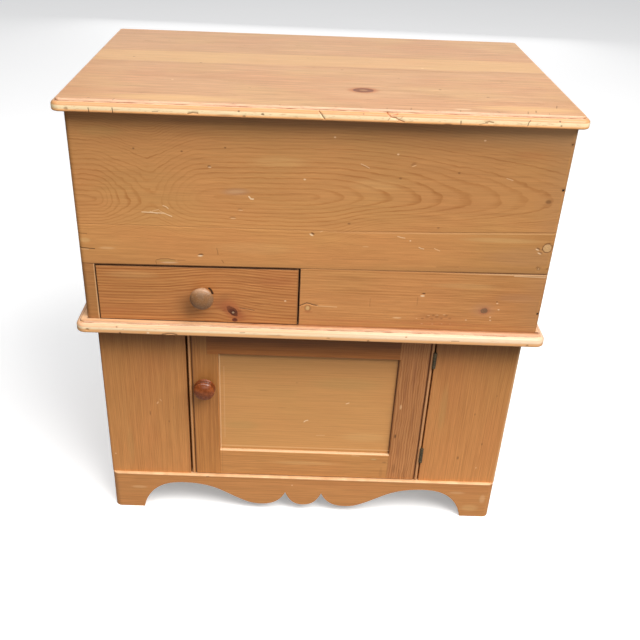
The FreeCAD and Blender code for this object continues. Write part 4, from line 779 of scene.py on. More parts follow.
def side_after(n, u, v, w, color, r, height):
    color, height = knot(n, u, v, color, height, (62.0, 705.0), (8.5, 6.0), 0.15, 2.3, core=(0.07, 0.03, 0.014))
    color, height = knot(n, u, v, color, height, (-128.0, 520.0), (5.5, 4.0), -0.2, 2.1, core=(0.08, 0.03, 0.014))
    color, height = knot(n, u, v, color, height, (176.0, 560.0), (4.0, 3.2), 0.0, 2.0, core=(0.08, 0.035, 0.016))
    for pts, tone, a in ((((-190, 600), (-150, 604), (-120, 603)), (0.86, 0.62, 0.38), 0.5), (((20, 590), (60, 583)), (0.86, 0.62, 0.38), 0.4),
                         (((110, 470), (130, 474)), (0.16, 0.065, 0.022), 0.5)):
        color = n.mix(n.strokes(n.xyz(u, v, 0.0), pts, 0.35) * a, color, tone)
    return color, r, height


def back_field(n, u, v, w):
    """Three boards, each with its own arches."""
    k = n.max(n.min(n.floor((v + 370.0) * (1 / 246.7)), 2.0), 0.0)
    c = k * 246.7 - 246.7
    dv = v - c + n.lin(k, 0.0, 2.0, 18.0, -26.0)
    d = n.math("MULTIPLY", u + n.lin(k, 0.0, 2.0, 40.0, 260.0), 0.15)
    return n.sqrt(n.math("MULTIPLY", dv, dv) + n.math("MULTIPLY", d, d)) + k * 37.0


def back_after(n, u, v, w, color, r, height):
    color, height = knot(n, u, v, color, height, (-205.0, 742.0), (9.0, 6.5), 0.1, 2.3, core=(0.07, 0.03, 0.014))
    color, height = knot(n, u, v, color, height, (128.0, 664.0), (7.0, 5.0), -0.1, 2.1, core=(0.08, 0.03, 0.014))
    color, height = knot(n, u, v, color, height, (-60.0, 505.0), (8.0, 5.5), 0.1, 2.2, core=(0.07, 0.03, 0.014))
    color, height = knot(n, u, v, color, height, (262.0, 484.0), (5.0, 4.0), 0.0, 2.1, core=(0.08, 0.035, 0.016))
    return color, r, height


def base_side_after(n, u, v, w, color, r, height):
    color, height = knot(n, u, v, color, height, (292.0, 84.0), (7.5, 4.6), 0.1, 2.3, core=(0.07, 0.03, 0.014))
    color, height = knot(n, u, v, color, height, (168.0, -96.0), (5.0, 3.4), -0.1, 2.1, core=(0.08, 0.03, 0.014))
    color = n.mix(n.strokes(n.xyz(u, v, 0.0), ((230, -20), (255, -24), (270, -23)), 0.35) * 0.45, color, (0.86, 0.62, 0.38))
    color = n.mix(n.strokes(n.xyz(u, v, 0.0), ((120, 40), (138, 46)), 0.35) * 0.45, color, (0.16, 0.065, 0.022))
    return color, r, height


def panel_after(n, u, v, w, color, r, height):
    # painted shadow cast on the panel by the right stile and the top rail, darker along its left edge, painted shade in
    # the corner at its foot with a painted band of light thrown back above it, and a painted highlight along its left
    # edge
    for d, a, wd in ((u + 160.8, 0.35, 3.0), (160.5 - u, 0.85, 4.6), (359.5 - v, 0.7, 3.2)):
        color = n.mix(n.smooth(d, wd, 0.2, 0.0, a), color, TONES["brown"])
    # painted shadow: a near-black line along the right edge, under the stile
    color = n.mix(n.smooth(160.5 - u, 2.0, 0.8, 0.0, 0.85), color, (0.06, 0.022, 0.010))
    # painted shade in the corner at the foot, then a painted band of light above it
    color = n.mix(n.smooth(v, 149.0, 145.5, 0.0, 0.35), color, TONES["brown"])
    seam = n.math("MULTIPLY", n.smooth(v, 148.6, 149.8), n.smooth(v, 150.6, 151.8, 1.0, 0.0))
    color = n.mix(seam * 0.45, color, (0.86, 0.56, 0.28))
    # painted highlight along the left edge
    color = n.mix(n.math("MULTIPLY", n.smooth(u, -158.2, -159.2), 0.55), color, (0.90, 0.60, 0.32))
    return color, r, height


def rail_top_after(n, u, v, w, color, r, height):
    # the rail's front face, under the waist board's overhang, is darker wood with painted shade; its back, on the back
    # of the door, is made lighter
    return n.mix(n.smooth(w, FRONT + 17.0, FRONT + 24.0, 0.0, 0.62), color, (0.46, 0.21, 0.072)), r, height


def door_v_after(n, u, v, w, color, r, height):
    # z is u here, x is v
    x, z = v, u
    # the back of the stiles near the top goes back to the plain wood colour, so the painted shade stays on the front
    # face
    back = n.math("MULTIPLY", n.smooth(w, FRONT + 17.0, FRONT + 24.0), n.smooth(z, 330.0, 405.0))
    color = n.mix(back * 0.55, color, (0.46, 0.21, 0.072))
    for lo, hi in ((-209.4, -206.6), (211.8, 214.6)):
        m = n.math("MULTIPLY", n.smooth(x, lo - 0.5, lo + 0.4), n.smooth(x, hi - 0.4, hi + 0.5, 1.0, 0.0))
        color = n.mix(m * 0.8, color, (0.16, 0.055, 0.02))
    # painted highlights along the beads at the door's edges
    for c in (-212.6, 217.4):
        d = n.math("ABSOLUTE", x - c)
        color = n.mix(n.smooth(d, 1.8, 0.6, 0.0, 0.35), color, (0.86, 0.50, 0.26))
    sh = n.math("MULTIPLY", n.smooth(n.math("ABSOLUTE", x + 181.0), 0.9, 0.3, 0.0, 0.7), n.smooth(z, 357.0, 359.0))
    color = n.mix(sh, color, TONES["dark"])
    return color, r, height


STILE = [
    dot(226, -289, 5.0, 1.0, "dark", 0.55), dot(208, -255, 2.6, 1.2, "dark", 0.4), dot(250, -274, 3.0, 1.2, "light", 0.55, 0.0, 0.5),
    dot(256, -268, 3.0, 1.0, "light", 0.4, 0.0, -0.6), dot(127, -361, 1.5, 1.5, "light", 0.7), dot(240, -245, 3.0, 0.9, "brown", 0.4),
    dot(300, -310, 3.5, 0.8, "brown", 0.35), dot(143, 292, 3.6, 2.0, "dark", 0.55), dot(178, 333, 2.8, 1.6, "dark", 0.45),
    dot(247, 310, 2.4, 1.6, "brown", 0.6), dot(290, 344, 2.0, 1.4, "brown", 0.5), dot(120, 330, 2.0, 1.2, "light", 0.5),
    dot(330, 268, 20, 1.2, "brown", 0.25), dot(150, -330, 40, 6, "green", 0.18), dot(260, 250, 50, 6, "green", 0.22),
]
DOOR_R = [
    dot(258, 172, 5.0, 1.8, "light", 0.5), dot(190, 168, 4.5, 1.5, "black", 0.7), line([(110, 183), (98, 184), (86, 183.6)], 0.4, "dark", 0.55),
    line([(120, 192), (92, 193)], 0.3, "dark", 0.45), dot(112, 172, 11, 3.0, "dark", 0.30), dot(330, 190, 34, 3.0, "maroon", 0.25),
    dot(300, 176, 30, 2.4, "maroon", 0.22), dot(230, 196, 34, 2.2, "maroon", 0.20), dot(160, 176, 22, 2.0, "maroon", 0.22),
]
PANEL = [
    dot(-80, 281, 9, 0.9, "brown", 0.40), dot(-45, 243, 7, 0.8, "brown", 0.30), line([(72, 256.6), (77, 258.6)], 0.5, "white", 0.9),
    line([(-4, 212), (-1, 215), (3, 216)], 0.6, "white", 0.9), dot(-120, 200, 30, 9, "green", 0.2), dot(70, 300, 60, 12, "green", 0.22),
    dot(-20, 300, 2.0, 1.0, "brown", 0.4), line([(20, 181), (36, 182)], 0.3, "light", 0.5), dot(110, 180, 40, 10, "yellow", 0.15),
    line([(-152, 330), (-152, 170)], 0.5, "light", 0.25),
]
RAIL = [
    dot(132, 133, 6.4, 2.2, "green", 0.5), dot(132, 132.6, 4.6, 1.2, "light", 0.3), line([(90, 140), (104, 139.6)], 0.35, "light", 0.6),
    dot(153, 126, 4.0, 2.0, "dark", 0.35), line([(159.4, 88), (159.6, 143)], 0.35, "brown", 0.5), line([(-157, 90), (-157, 143)], 0.35, "brown", 0.3),
    dot(0, 118, 60, 4, "yellow", 0.2), dot(148, 100, 3, 12, "brown", 0.25),
]
PLINTH = [
    dot(-22, 66, 1.4, 1.2, "white", 0.6), dot(300, 60, 14, 3, "light", 0.25), dot(-320, 50, 14, 3, "light", 0.3),
    dot(-310, 70, 20, 3, "brown", 0.2), dot(352, 46, 5, 10, "light", 0.3), line([(-188, 81), (-184, 82)], 0.8, "dark", 0.6),
    dot(-60, 62, 26, 3, "brown", 0.2), dot(100, 58, 20, 3, "brown", 0.2), dot(330, 22, 16, 8, "yellow", 0.25),
]


def rail_after(n, u, v, w, color, r, height):
    # painted highlight along the bottom rail's top edge
    return n.mix(n.smooth(v, 142.2, 142.9, 0.0, 0.8), color, (0.72, 0.50, 0.29)), r, height


def stile_after(n, u, v, w, color, r, height):
    # painted shade on the rounded outer edge of the left stile
    color = n.mix(n.smooth(v, -363.0, -370.0, 0.0, 0.40), color, TONES["brown"])
    # painted highlight on the rounded outer edge of the right stile
    color = n.mix(n.smooth(v, 364.0, 369.0, 0.0, 0.35), color, (0.90, 0.60, 0.33))
    g = n.math("MULTIPLY", n.smooth(v, -225.0, -218.0), n.smooth(v, 0.0, -1.0))
    color = n.mix(g * 0.30, color, TONES["brown"])
    return color, r, height


def plinth_after(n, u, v, w, color, r, height):
    # painted highlight along the plinth's top edge, broken up along its length
    edge = n.noise(n.xyz(u * (1 / 30.0), 0.0, 0.0), 1.0, 2.0, 0.5, seed=6.0)
    color = n.mix(n.math("MULTIPLY", n.smooth(v, 81.0, 82.6), n.lin(edge, 0.3, 0.7, 0.3, 0.8)), color, (0.90, 0.60, 0.34))
    line_ = n.math("MULTIPLY", n.smooth(v, 77.2, 78.6), n.smooth(v, 80.4, 81.4, 1.0, 0.0))
    color = n.mix(n.math("MULTIPLY", line_, 0.30), color, TONES["brown"])
    return color, r, height


M = {}
lidg = (0.745, 0.66, 0.595)
M["lid"] = pine("lid_pine", "lid", early=(0.80, 0.52, 0.31), late=(0.64, 0.37, 0.20), warm=(0.78, 0.46, 0.27),
                green=(0.80, 0.55, 0.30), gain=lidg, ring=6.2, contrast=0.62, rough=0.34, seed=1.0, fibre=0.52, streak=0.42,
                field=lid_field, warp=0.9, wob_scale=1.8, after=lid_after, marks=LID, blotch=0.8, edge=(0.45, 0.92), patch=0.7,
                bump=0.5)
M["waist"] = pine("waist_pine", "lid", early=(0.80, 0.50, 0.28), late=(0.60, 0.31, 0.14), warm=(0.78, 0.45, 0.24),
                  green=(0.78, 0.50, 0.26), ring=5.0, contrast=0.35, v0=-700, rough=0.33, seed=2.0, fibre=0.25,
                  after=waist_after)
M["upper"] = pine("front_upper_pine", "x", gain=(0.836, 0.788, 0.811), seed=3.0, field=front_field, phase=front_phase, warp=0.14,
                  contrast=0.66, edge=(0.52, 0.90), marks=UPPER, fine_warp=5.0, floor_=0.45, fibre=0.26, streak=0.10, patch=0.65,
                  after=upper_after,
                  # painted shade under the lid's overhang, darker towards the top; along u, darker to the right, partly
                  # the board's own tone and partly painted falloff of the light
                  painted_shade_v=[(614, 1.10), (650, 1.03), (700, 0.98), (740, 0.93), (762, 0.83), (778, 0.77), (792, 0.71)],
                  painted_shade_u=[(-384, 1.0), (-100, 1.02), (80, 0.99), (200, 0.95), (384, 0.91)], mute=front_mute)
M["middle"] = pine("front_middle_pine", "x", gain=(0.869, 0.816, 0.83), seed=4.0, field=front_field, phase=front_phase, warp=0.2,
                   contrast=0.42, edge=(0.50, 0.90), marks=MIDDLE, fine_warp=5.0, floor_=0.3, fibre=0.28, streak=0.12, patch=0.6,
                   after=middle_after,
                   # along u, darker to the right, partly the board's own tone and partly painted falloff of the light;
                   # along v, painted shade near the lower joint
                   painted_shade_u=[(-384, 1.0), (-340, 1.05), (100, 1.03), (230, 0.97), (384, 0.86)],
                   painted_shade_v=[(542, 0.93), (552, 0.98), (565, 1.0), (614, 1.03)])
# darker towards the right end: partly the board's own tone and partly painted falloff of the light
M["lower"] = pine("front_lower_pine", "x", gain=(0.887, 0.815, 0.853), seed=5.0, field=lower_field, ring=5.2, contrast=0.44,
                  warp=0.30, marks=LOWER, after=lower_after, edge=(0.35, 0.9), painted_shade_u=[(-24, 1.04), (150, 1.01), (384, 0.90)])
M["strip"] = pine("front_strip_pine", "x", gain=(0.705, 0.65, 0.66), seed=6.0, field=front_field, ring=4.0, contrast=0.4,
                  after=strip_after)
# painted shade: the sides darken under the lid's overhang at the top and in the crease at the foot
M["box_side"] = pine("box_side_pine", "side_y", seed=7.0, field=arched(655.0, 0.16, -330.0), ring=7.5, contrast=0.62, warp=0.7,
                     gain=(0.90, 0.84, 0.84), fine_warp=5.0, patch=0.6, after=side_after, fibre=0.28, streak=0.2,
                     painted_shade_v=[(434, 0.90), (460, 1.0), (740, 1.0), (775, 0.90), (792, 0.80)])
# painted shade under the waist board's overhang: the stiles darken towards the top
stile_painted_shade = [(84, 1.10), (150, 1.05), (250, 0.98), (330, 0.89), (375, 0.66), (414, 0.43)]
M["stile"] = pine("base_stile_pine", "z", seed=8.0, v0=-900.0, ring=3.1, contrast=0.55, fibre=0.30, patch=0.5, gain=(0.87, 0.755, 0.72), streak=0.22,
                  curl=0.5, painted_shade_u=stile_painted_shade, warp=0.7, marks=STILE, after=stile_after)
# painted shade: the sides of the cupboard darken under the waist board's overhang at the top and near the floor
M["base_side"] = pine("base_side_pine", "side_z", seed=9.0, field=arched(25.0, 0.14, -60.0), ring=6.5, contrast=0.6, warp=0.7,
                      gain=(0.90, 0.80, 0.77), fine_warp=5.0, patch=0.6, after=base_side_after, fibre=0.28, streak=0.2,
                      painted_shade_u=[(0, 0.84), (30, 0.97), (360, 0.97), (395, 0.85), (414, 0.72)])
M["plinth"] = pine("plinth_pine", "x", seed=10.0, v0=-600.0, ring=4.4, contrast=0.45, gain=(0.87, 0.775, 0.77), after=plinth_after,
                   warp=0.7, marks=PLINTH, fibre=0.28, streak=0.2)
M["door_l"] = pine("door_stile_pine_l", "z", seed=11.0, v0=-600.0, ring=3.4, contrast=0.5, gain=(0.745, 0.63, 0.53),
                   after=door_v_after, curl=1.0, painted_shade_u=stile_painted_shade)
# painted shade under the waist board's overhang: the right door stile darkens towards the top
M["door_r"] = pine("door_stile_pine_r", "z", marks=DOOR_R, seed=25.0, v0=-600.0, ring=4.4, contrast=1.35, floor_=0.6, patch=0.5, gain=(0.757, 0.67, 0.73),
                   after=door_v_after, curl=3.4, painted_shade_u=[(84, 1.10), (200, 1.0), (330, 0.90), (414, 0.78)], warp=1.2)
# darker wood and painted shade under the waist board's overhang, darkest at the top
M["rail_top"] = pine("door_rail_pine_top", "x", seed=12.0, v0=-600.0, ring=4.4, contrast=0.5, gain=(0.50, 0.355, 0.25), warp=0.6, after=rail_top_after,
                     painted_shade_v=[(359, 1.16), (370, 0.98), (382, 0.76), (395, 0.57), (414, 0.44)])
M["rail_bot"] = pine("door_rail_pine_bottom", "x", seed=26.0, v0=-600.0, ring=4.0, contrast=0.4, gain=(0.924, 0.84, 0.81), warp=0.5, marks=RAIL, after=rail_after)
# painted shade: the panel darkens towards the top, under the top rail
M["panel"] = pine("door_panel_pine", "x", seed=13.0, gain=(0.85, 0.765, 0.72), v0=-600.0, ring=5.0, contrast=0.22, streak=0.10, marks=PANEL, early=(0.72, 0.385, 0.135),
                  late=(0.56, 0.27, 0.085), warm=(0.72, 0.36, 0.12), green=(0.66, 0.385, 0.13), after=panel_after, warp=0.6,
                  fibre=0.16, painted_shade_v=[(143, 1.06), (200, 1.03), (280, 0.98), (330, 0.845), (359, 0.73)])
M["drawer"] = pine("drawer_front_pine", "x", seed=14.0, gain=(0.89, 0.86, 0.83), field=drawer_field, ring=5.4, contrast=0.80, early=(0.63, 0.275, 0.090),
                   late=(0.38, 0.125, 0.032), warm=(0.62, 0.245, 0.085), green=(0.60, 0.29, 0.09), marks=DRAWER,
                   after=drawer_after, warp=0.22, fine_warp=4.0, edge=(0.30, 0.88), ringvar=0.5, floor_=0.5)
M["raw"] = pine("raw_pine", "x", seed=15.0, early=(0.62, 0.46, 0.28), late=(0.46, 0.30, 0.16), warm=(0.6, 0.42, 0.24),
                green=(0.56, 0.45, 0.29), rough=0.7, specular=0.2)
M["raw_y"] = pine("raw_pine_y", "side_y", seed=16.0, early=(0.62, 0.46, 0.28), late=(0.46, 0.30, 0.16),
                  warm=(0.6, 0.42, 0.24), green=(0.56, 0.45, 0.29), rough=0.7, specular=0.2)
M["back"] = pine("back_pine", "x", seed=17.0, early=(0.62, 0.45, 0.28), late=(0.42, 0.27, 0.15), warm=(0.58, 0.40, 0.24),
                 green=(0.56, 0.43, 0.28), field=arched(700.0, 0.15, -260.0), ring=8.0, contrast=0.7, patch=0.6, after=back_after,
                 fine_warp=5.0, rough=0.75, specular=0.15)
M["back_z"] = pine("back_pine_z", "z", seed=18.0, early=(0.62, 0.45, 0.28), late=(0.42, 0.27, 0.15), contrast=0.7,
                   warm=(0.58, 0.40, 0.24), green=(0.56, 0.43, 0.28), field=back_field, ring=7.0, patch=0.6, fine_warp=5.0, rough=0.75, specular=0.15)


def door_knob_after(n, u, v, w, color, r, height):
    m = n.noise(n.mm, 0.22, 3.0, 0.65, seed=2.5)
    color = n.mix(n.smooth(m, 0.50, 0.62, 0.0, 0.7), color, (0.33, 0.085, 0.022))
    m2 = n.noise(n.mm, 0.5, 2.0, 0.6, seed=9.5)
    color = n.mix(n.smooth(m2, 0.60, 0.70, 0.0, 0.8), color, (0.10, 0.022, 0.008))
    # painted shade in the groove behind the knob's front disc
    groove = n.math("MULTIPLY", n.smooth(u, BASE - 19.0, BASE - 16.5), n.smooth(u, BASE - 1.0, BASE - 8.0, 0.3, 1.0))
    rr = n.sqrt(n.math("MULTIPLY", v + 185.7, v + 185.7) + n.math("MULTIPLY", w - 292.8, w - 292.8))
    color = n.mix(n.math("MULTIPLY", n.math("MULTIPLY", groove, n.smooth(rr, 18.6, 16.8)), 0.75), color, (0.03, 0.010, 0.005))
    return color, r, height


def drawer_knob_after(n, u, v, w, color, r, height):
    m = n.noise(n.mm, 0.12, 3.0, 0.6, seed=12.5)
    color = n.mix(n.smooth(m, 0.45, 0.60, 0.0, 0.8), color, (0.24, 0.125, 0.06))
    m2 = n.noise(n.mm, 0.55, 2.0, 0.6, seed=19.5)
    color = n.mix(n.smooth(m2, 0.62, 0.70, 0.0, 0.7), color, (0.14, 0.07, 0.035))
    # painted shade on the lower half of the knob
    low = n.smooth(w, 492.0, 468.0)
    color = n.mix(low * 0.45, color, (0.17, 0.075, 0.03))
    # painted light on the top of the knob
    top = n.smooth(w, 496.0, 508.0)
    color = n.mix(top * 0.30, color, (0.66, 0.42, 0.27))
    m3 = n.noise(n.mm, 0.9, 2.0, 0.7, seed=29.5)
    color = n.mix(n.smooth(m3, 0.57, 0.68, 0.0, 0.7), color, (0.52, 0.36, 0.22))
    # painted shade on the knob's lower left side, away from the light
    edge = n.math("MULTIPLY", n.smooth(v, -190.0, -201.0), n.smooth(w, 500.0, 480.0))
    color = n.mix(edge * 0.5, color, (0.12, 0.055, 0.025))
    return color, r, height


M["knob_dark"] = pine("door_knob_wood", "y", seed=19.0, gain=(0.92, 0.84, 0.55), early=(0.24, 0.056, 0.012), late=(0.15, 0.035, 0.010),
                      warm=(0.24, 0.052, 0.014), green=(0.22, 0.066, 0.02), rough=0.28, coat=0.22, ring=2.5, contrast=0.4,
                      after=door_knob_after)
M["knob_tan"] = pine("drawer_knob_wood", "y", seed=20.0, gain=(0.76, 0.65, 0.49), early=(0.40, 0.215, 0.105), late=(0.28, 0.14, 0.065),
                     warm=(0.36, 0.18, 0.085), green=(0.38, 0.225, 0.11), rough=0.42, ring=2.5, contrast=0.4,
                     after=drawer_knob_after, specular=0.5)
M["latch"] = pine("latch_wood", "z", seed=21.0, early=(0.42, 0.27, 0.14), late=(0.30, 0.17, 0.08), rough=0.6)
M["plug"] = pine("plug_wood", "y", seed=22.0, early=(0.66, 0.40, 0.19), late=(0.5, 0.27, 0.11), ring=2.0, after=plug_after)
M["iron"] = iron("hinge_iron", base=(0.10, 0.085, 0.055), rust=(0.20, 0.155, 0.09))
M["screw"] = iron("screw_iron", seed=4.0)


def nail(name):
    n = Net(name)
    x, y, z = n.position()
    a = n.noise(n.mm, 0.35, 3.0, 0.6, seed=8.0)
    b = n.noise(n.mm, 1.7, 2.0, 0.6, seed=11.0)
    c = n.mix(n.smooth(a, 0.42, 0.66), (0.02, 0.012, 0.008), (0.06, 0.025, 0.014))
    # two heads on the front are stopped with filler
    for at, inner, col in (((366.6, 555.5), 3.6, (0.48, 0.26, 0.11)), ((380.2, 764.5), 3.6, (0.42, 0.20, 0.08))):
        m, r = n.disc(x, z, at, (inner, inner), 0.05)
        ring = n.smooth(r, 0.42, 0.62) if at[1] < 600 else n.smooth(r, 0.52, 0.30)
        c = n.mix(n.math("MULTIPLY", m, n.smooth(y, -225.0, -230.0)), c, n.mix(ring, col, (0.10, 0.045, 0.02)))
    return n.finish(c, n.lin(b, 0.3, 0.7, 0.45, 0.75), a, bump_mm=0.2, strength=0.4, metallic=0.0, specular=0.3)


M["nail"] = nail("nail_iron")

use(M["lid"], "lid_board")
use(M["waist"], "waist_board")
use(M["upper"], "box_front_upper")
use(M["middle"], "box_front_middle")
use(M["lower"], "box_front_lower")
use(M["strip"], "box_front_strip")
use(M["box_side"], "box_side_left", "box_side_right")
use(M["stile"], "base_stile_left", "base_stile_right")
use(M["base_side"], "base_side_left", "base_side_right")
use(M["plinth"], "plinth_front")
use(M["door_l"], "door_stile_left")
use(M["door_r"], "door_stile_right")
use(M["rail_top"], "door_rail_top")
use(M["rail_bot"], "door_rail_bottom")
use(M["panel"], "door_panel")
use(M["drawer"], "drawer_front")
use(M["raw"], "base_bottom_board", "base_back_rail", "door_stop_strip", "well_shelf", "drawer_back", "drawer_bottom",
    "drawer_stop_block", "foot_glue_blocks")
use(M["raw_y"], "drawer_partition", "lid_batten_left", "lid_batten_right", "drawer_side_left", "drawer_side_right")
use(M["back"], "box_back_upper", "box_back_lower")
use(M["back_z"], "base_back_board_left", "base_back_board_middle", "base_back_board_right")
use(M["knob_dark"], "door_knob")
use(M["knob_tan"], "drawer_knob")
use(M["latch"], "latch_tongue", "latch_peg")
use(M["plug"], "box_front_plug")
use(M["iron"], "lid_hinge_fixed_leaves", "lid_hinge_moving_leaves", "lid_hinge_pins", "door_hinge_fixed_leaves",
    "door_hinge_moving_leaves", "door_hinge_pins")
use(M["screw"], "lid_hinge_fixed_screws", "lid_hinge_moving_screws", "door_hinge_fixed_screws",
    "door_hinge_moving_screws", "lid_batten_screws")
use(M["nail"], "box_front_nails", "box_back_nails", "base_back_nails", "drawer_bottom_nails")


# ============================================================ worn surfaces
LATTICE = {}


def lumps(p, q, seed):
    """Smooth unevenness from -1 to 1 over the plane (p, q), one cell to a unit."""
    if seed not in LATTICE:
        LATTICE[seed] = np.random.default_rng(500 + seed).uniform(-1.0, 1.0, (97, 89))
    g = LATTICE[seed]
    p, q = np.broadcast_arrays(np.asarray(p, float), np.asarray(q, float))
    i, j = np.floor(p).astype(int), np.floor(q).astype(int)
    a, b = p - i, q - j
    a, b = a * a * (3 - 2 * a), b * b * (3 - 2 * b)

    def at(k, l):
        return g[np.mod(k, 97), np.mod(l, 89)]
    return (at(i, j) * (1 - a) + at(i + 1, j) * a) * (1 - b) + (at(i, j + 1) * (1 - a) + at(i + 1, j + 1) * a) * b


def ramp(v, a, b):
    t = np.clip((np.asarray(v, float) - a) / (b - a), 0.0, 1.0)
    return t * t * (3 - 2 * t)


def dents(p, q, items, least=0.7):
    """How deep the marks sink the surface at (p, q)."""
    p, q = np.broadcast_arrays(np.asarray(p, float), np.asarray(q, float))
    out = np.zeros(p.shape)
    for kind, at, size, angle, soft, tone, amount, depth in items:
        if not depth:
            continue
        if kind == "dot":
            c, s = math.cos(angle), math.sin(angle)
            dp, dq = p - at[0], q - at[1]
            a, b = dp * c + dq * s, dq * c - dp * s
            r2 = (a / max(size[0], least)) ** 2 + (b / max(size[1], least)) ** 2
            out = np.maximum(out, depth * np.clip(1.25 - r2, 0, 1))
        else:
            h = max(size, 0.45)
            for (ax, az), (bx, bz) in zip(at, at[1:]):
                ux, uz = bx - ax, bz - az
                t = np.clip(((p - ax) * ux + (q - az) * uz) / (ux * ux + uz * uz), 0, 1)
                d = np.hypot(p - ax - t * ux, q - az - t * uz)
                out = np.maximum(out, depth * np.clip(1.0 - (d - h) / 0.7, 0, 1))
    return out


def piece(name, verts, faces, mat, node, body, sharp=34.0):
    """A new mesh, in millimetres of the row frame, that stands for a CAD node."""
    me = bpy.data.meshes.new(name)
    me.from_pydata((np.asarray(verts, float) / 1000.0).tolist(), [], faces)
    me.validate()
    me.polygons.foreach_set("use_smooth", [True] * len(me.polygons))
    me.set_sharp_from_angle(angle=math.radians(sharp))
    me.materials.append(mat)
    me.update()
    o = bpy.data.objects.new(name, me)
    bpy.context.scene.collection.objects.link(o)
    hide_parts(node)
    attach(o, body)
    return o


def grid_faces(rows, cols, base=0, flip=False):
    i, j = np.meshgrid(np.arange(rows - 1), np.arange(cols - 1), indexing="ij")
    a = base + i * cols + j
    q = np.stack([a, a + 1, a + cols + 1, a + cols], -1).reshape(-1, 4)
    return q[:, ::-1] if flip else q


def spaced(a, b, step):
    k = max(1, int(round((b - a) / step)))
    return np.linspace(a, b, k + 1)


# ---- the boards of the front
YF, YB = FRONT, FRONT + 22.0


def fall_low(x):
    """The joints between the boards aren't quite level: how far the lower one is off its mean height."""
    return -1.0 + 0.0108 * np.asarray(x, float)


def fall_high(x):
    return np.interp(x, [-384.0, 50.0, 200.0, 340.0, 386.0], [-6.5, -4.5, -0.5, 4.0, 5.3])


def slant(x, z):
    """Height of a point of the front once its board's edges follow the joints."""
    a, b = fall_low(x), fall_high(x)
    z = np.asarray(z, float)
    t1 = np.clip((z - 434.0) / (542.5 - 434.0), 0, 1)
    t2 = np.clip((z - 542.5) / (614.5 - 542.5), 0, 1)
    t3 = np.clip((z - 614.5) / (792.0 - 614.5), 0, 1)
    return z + np.where(z <= 542.5, a * t1, np.where(z <= 614.5, a + (b - a) * t2, b * (1 - t3)))


def plan_path(x0, x1, round_left, round_right, step):
    """Stations round a board seen from above, from its back left to its back right: x, y and outward normal."""
    pts = []
    if round_left:
        R = 8.0
        for y in spaced(YB, YF + R, 3.6):
            pts.append((x0, y, -1.0, 0.0))
        for k in range(1, 9):
            a = math.radians(90.0 * k / 9)
            pts.append((x0 + R - R * math.cos(a), YF + R - R * math.sin(a), -math.cos(a), -math.sin(a)))
        xs0 = x0 + R
    else:
        r = 0.6
        for y in spaced(YB, YF + r, 5.0):
            pts.append((x0, y, -1.0, 0.0))
        k = r * (1 - math.sqrt(0.5))
        pts.append((x0 + k, YF + k, -math.sqrt(0.5), -math.sqrt(0.5)))
        xs0 = x0 + r
    xs1 = x1 - (8.0 if round_right else 0.6)
    for x in spaced(xs0, xs1, step):
        pts.append((x, YF, 0.0, -1.0))
    if round_right:
        R = 8.0
        for k in range(1, 9):
            a = math.radians(90.0 * k / 9)
            pts.append((x1 - R + R * math.sin(a), YF + R - R * math.cos(a), math.sin(a), -math.cos(a)))
        for y in spaced(YF + R, YB, 3.6):
            pts.append((x1, y, 1.0, 0.0))
    else:
        r = 0.6
        k = r * (1 - math.sqrt(0.5))
        pts.append((x1 - k, YF + k, math.sqrt(0.5), -math.sqrt(0.5)))
        for y in spaced(YF + r, YB, 5.0):
            pts.append((x1, y, 1.0, 0.0))
    return np.array(pts)


def front_board(node, name, mat, x0, x1, z0, z1, round_left, round_right, low, high, marks, seed, step=1.4, proud=(), sunk=(),
                body="cabinet"):
    """low and high give the arris of a joint at the lower and upper edge as a function of x, or None."""
    path = plan_path(x0, x1, round_left, round_right, step)
    X, Y, NX, NY = path.T
    zs, off, drop = [], [], []
    prof = ((0.0, 1.0), (0.29, 0.29), (1.0, 0.0))
    inner0, inner1 = z0 + (2.0 if low else 1.2), z1 - (2.0 if high else 1.2)
    for f, o in (prof if low else ((0.0, 0.0),)):
        zs.append((z0, f, +1, o, low))
    for z in spaced(inner0, inner1, step):
        zs.append((z, 0.0, 0, 0.0, None))
    for f, o in (prof[::-1] if high else ((0.0, 0.0),)):
        zs.append((z1, f, -1, o, high))
    rows = []
    for z, f, side, o, fn in zs:
        a = fn(X) if fn is not None else np.zeros_like(X)
        zz = z + side * f * a
        fade = ramp(np.minimum(zz - z0, z1 - zz), 0.0, 4.0)
        zz = slant(X, zz)
        flat = ramp(-NY, 0.2, 0.9)
        d = (0.10 * lumps(X / 63.0, zz / 37.0, seed) + 0.045 * lumps(X / 15.0, zz / 8.0, seed + 1)
             + 0.03 * lumps(X / 40.0, zz / 2.6, seed + 2)) * fade
        d = np.minimum(d, 0.10) * flat
        d = d - dents(X, zz, marks) * flat
        for (cx, cz), r in proud:
            d = np.maximum(d, 0.16 * (1 - ramp(np.hypot(X - cx, zz - cz), r, r + 2.5)) - 0.02)
        for (cx, cz), r, depth in sunk:
            k = 1 - ramp(np.hypot(X - cx, zz - cz), r, r + 2.2)
            d = np.where(k > 0, np.minimum(d, 0.0) - depth * k, d)
        d = d - o * a
        rows.append(np.stack([X + NX * d, Y + NY * d, zz], 1))
    V = np.array(rows)
    nr, nc = V.shape[:2]
    verts = V.reshape(-1, 3)
    faces = grid_faces(nr, nc).tolist()
    faces.append([int(k) for k in range(nc - 1, -1, -1)])
    faces.append([int((nr - 1) * nc + k) for k in range(nc)])
    faces.append([int(r * nc) for r in range(nr)][::1] + [int(r * nc + nc - 1) for r in range(nr - 1, -1, -1)])
    return piece(name, verts, faces, mat, node, body)


def near(v):
    return lambda x: np.full_like(x, v)


